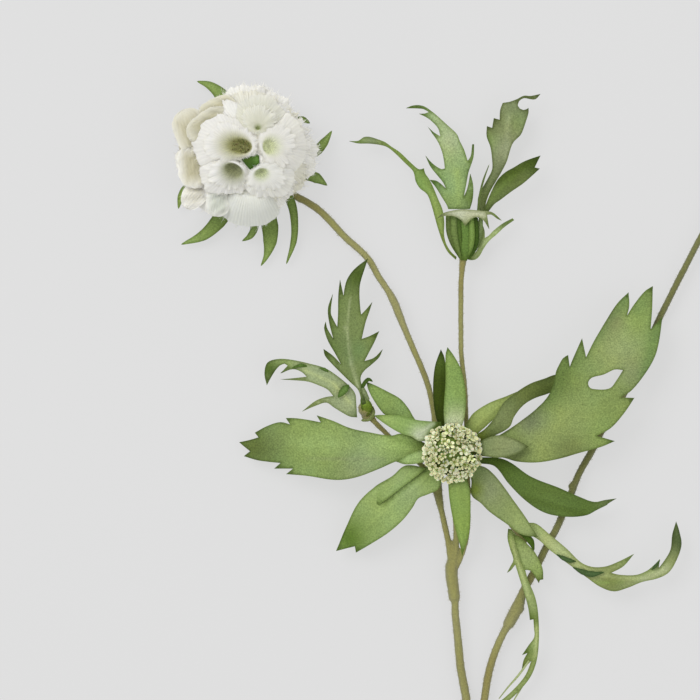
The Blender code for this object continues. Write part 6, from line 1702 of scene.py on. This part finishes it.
def make_side_bud():
    shell = Shell()
    body = turned((BUD.x, BUD.y), [(1.6, 0.0), (2.6, 0.4), (3.4, 1.2), (4.0, 2.2), (4.3, 3.4), (4.3, 5.0),
                                   (3.8, 6.4), (2.8, 7.6), (1.6, 8.3), (0.6, 8.6)], sides=28)
    shell.add(*body, MID)
    for k in range(6):
        turn = math.radians(275 + 60 * k)
        reach = Vector((math.cos(turn), math.sin(turn)))
        path = [(BUD.x + reach.x * far, BUD.y + reach.y * far, height, wide)
                for far, height, wide in ((2.6, 3.4, 1.0), (6.0, 3.4, 1.3), (10.5, 2.6, 0.2))]
        strap(shell, path, MID, step=1.0,
              patches=[(BUD.x + reach.x * 10, BUD.y + reach.y * 10, 4, LIGHT, 0.7)])
    rng = random.Random(5)
    for k in range(SIDE_FLORETS):
        out = math.sqrt((k + 0.5) / SIDE_FLORETS)
        turn = k * GOLDEN_TURN
        top = Vector((BUD.x + 3.6 * out * math.cos(turn), BUD.y + 3.6 * out * math.sin(turn),
                      8.3 - 2.6 * out ** 2.4))
        tone = (CREAM_GREEN if k % 3 else FLORET_GREEN) * rng.uniform(0.8, 1)
        shell.add(*lump(top, (0.62, 0.62, 0.7), 8, 6), tone)
    shell.piece("side_bud_cloth", LEAF_CLOTHS["leaf_green"], ["side_bud"])


# Studio

def make_studio():
    mat, tree, shader = new_material("pale_floor", 0.9, Specular_IOR_Level=0.1)
    place_at = add(tree, "TexCoord").outputs["Object"]
    mottle = add(tree, "TexNoise", {"Vector": place_at, "Scale": 3.0, "Detail": 1.0})
    colour = blend_colours(tree, mottle.outputs[0], (0.125, 0.125, 0.125, 1.0), (0.145, 0.145, 0.145, 1.0))
    tree.links.new(colour, shader.inputs["Base Color"])
    shader.inputs["Emission Color"].default_value = (1.0, 1.0, 1.0, 1.0)
    shader.inputs["Emission Strength"].default_value = FLOOR_GLOW
    mesh = bpy.data.meshes.new("floor")
    corners = [(x * FLOOR_HALF, y * FLOOR_HALF, 0) for x, y in ((-1, -1), (1, -1), (1, 1), (-1, 1))]
    mesh.from_pydata(corners, [], [(0, 1, 2, 3)])
    mesh.materials.append(mat)
    floor = bpy.data.objects.new("floor", mesh)
    floor.location = (0, 0, -FLOOR_DROP)
    bpy.context.scene.collection.objects.link(floor)
    world = bpy.data.worlds.new("studio")
    world.use_nodes = True
    sky = world.node_tree.nodes["Background"]
    sky.inputs["Color"].default_value = (1.0, 1.0, 1.0, 1.0)
    sky.inputs["Strength"].default_value = SKY_STRENGTH
    bpy.context.scene.world = world
    lamps = (("key", (-0.9, 0.9, 1.5), 1.1, 17.0), ("fill", (1.1, -0.6, 1.6), 1.4, 4.0))
    for name, spot, size, energy in lamps:
        lamp = bpy.data.lights.new(name, "AREA")
        lamp.energy = energy
        lamp.size = size
        obj = bpy.data.objects.new(name, lamp)
        obj.location = spot
        obj.rotation_euler = (Vector((0, 0.05, 0)) - Vector(spot)).to_track_quat("-Z", "Y").to_euler()
        bpy.context.scene.collection.objects.link(obj)
    bpy.context.scene.view_settings.view_transform = "Standard"


def make_camera():
    """Camera straight above the spray, framed as the photograph is."""
    camera = bpy.data.cameras.new("camera")
    camera.sensor_width = 36.0
    camera.lens = CAMERA_LENS
    camera.clip_end = 20.0
    obj = bpy.data.objects.new("camera", camera)
    obj.location = (-ORIGIN.x * MM, -ORIGIN.y * MM, CAMERA_HEIGHT)
    bpy.context.scene.collection.objects.link(obj)
    bpy.context.scene.camera = obj


make_camera()
make_studio()
make_stems()
make_head_leaves()
make_head()
make_bloom()
make_bloom_calyx()
make_upper_shoot()
make_left_shoot()
make_lower_shoot()
make_side_bud()
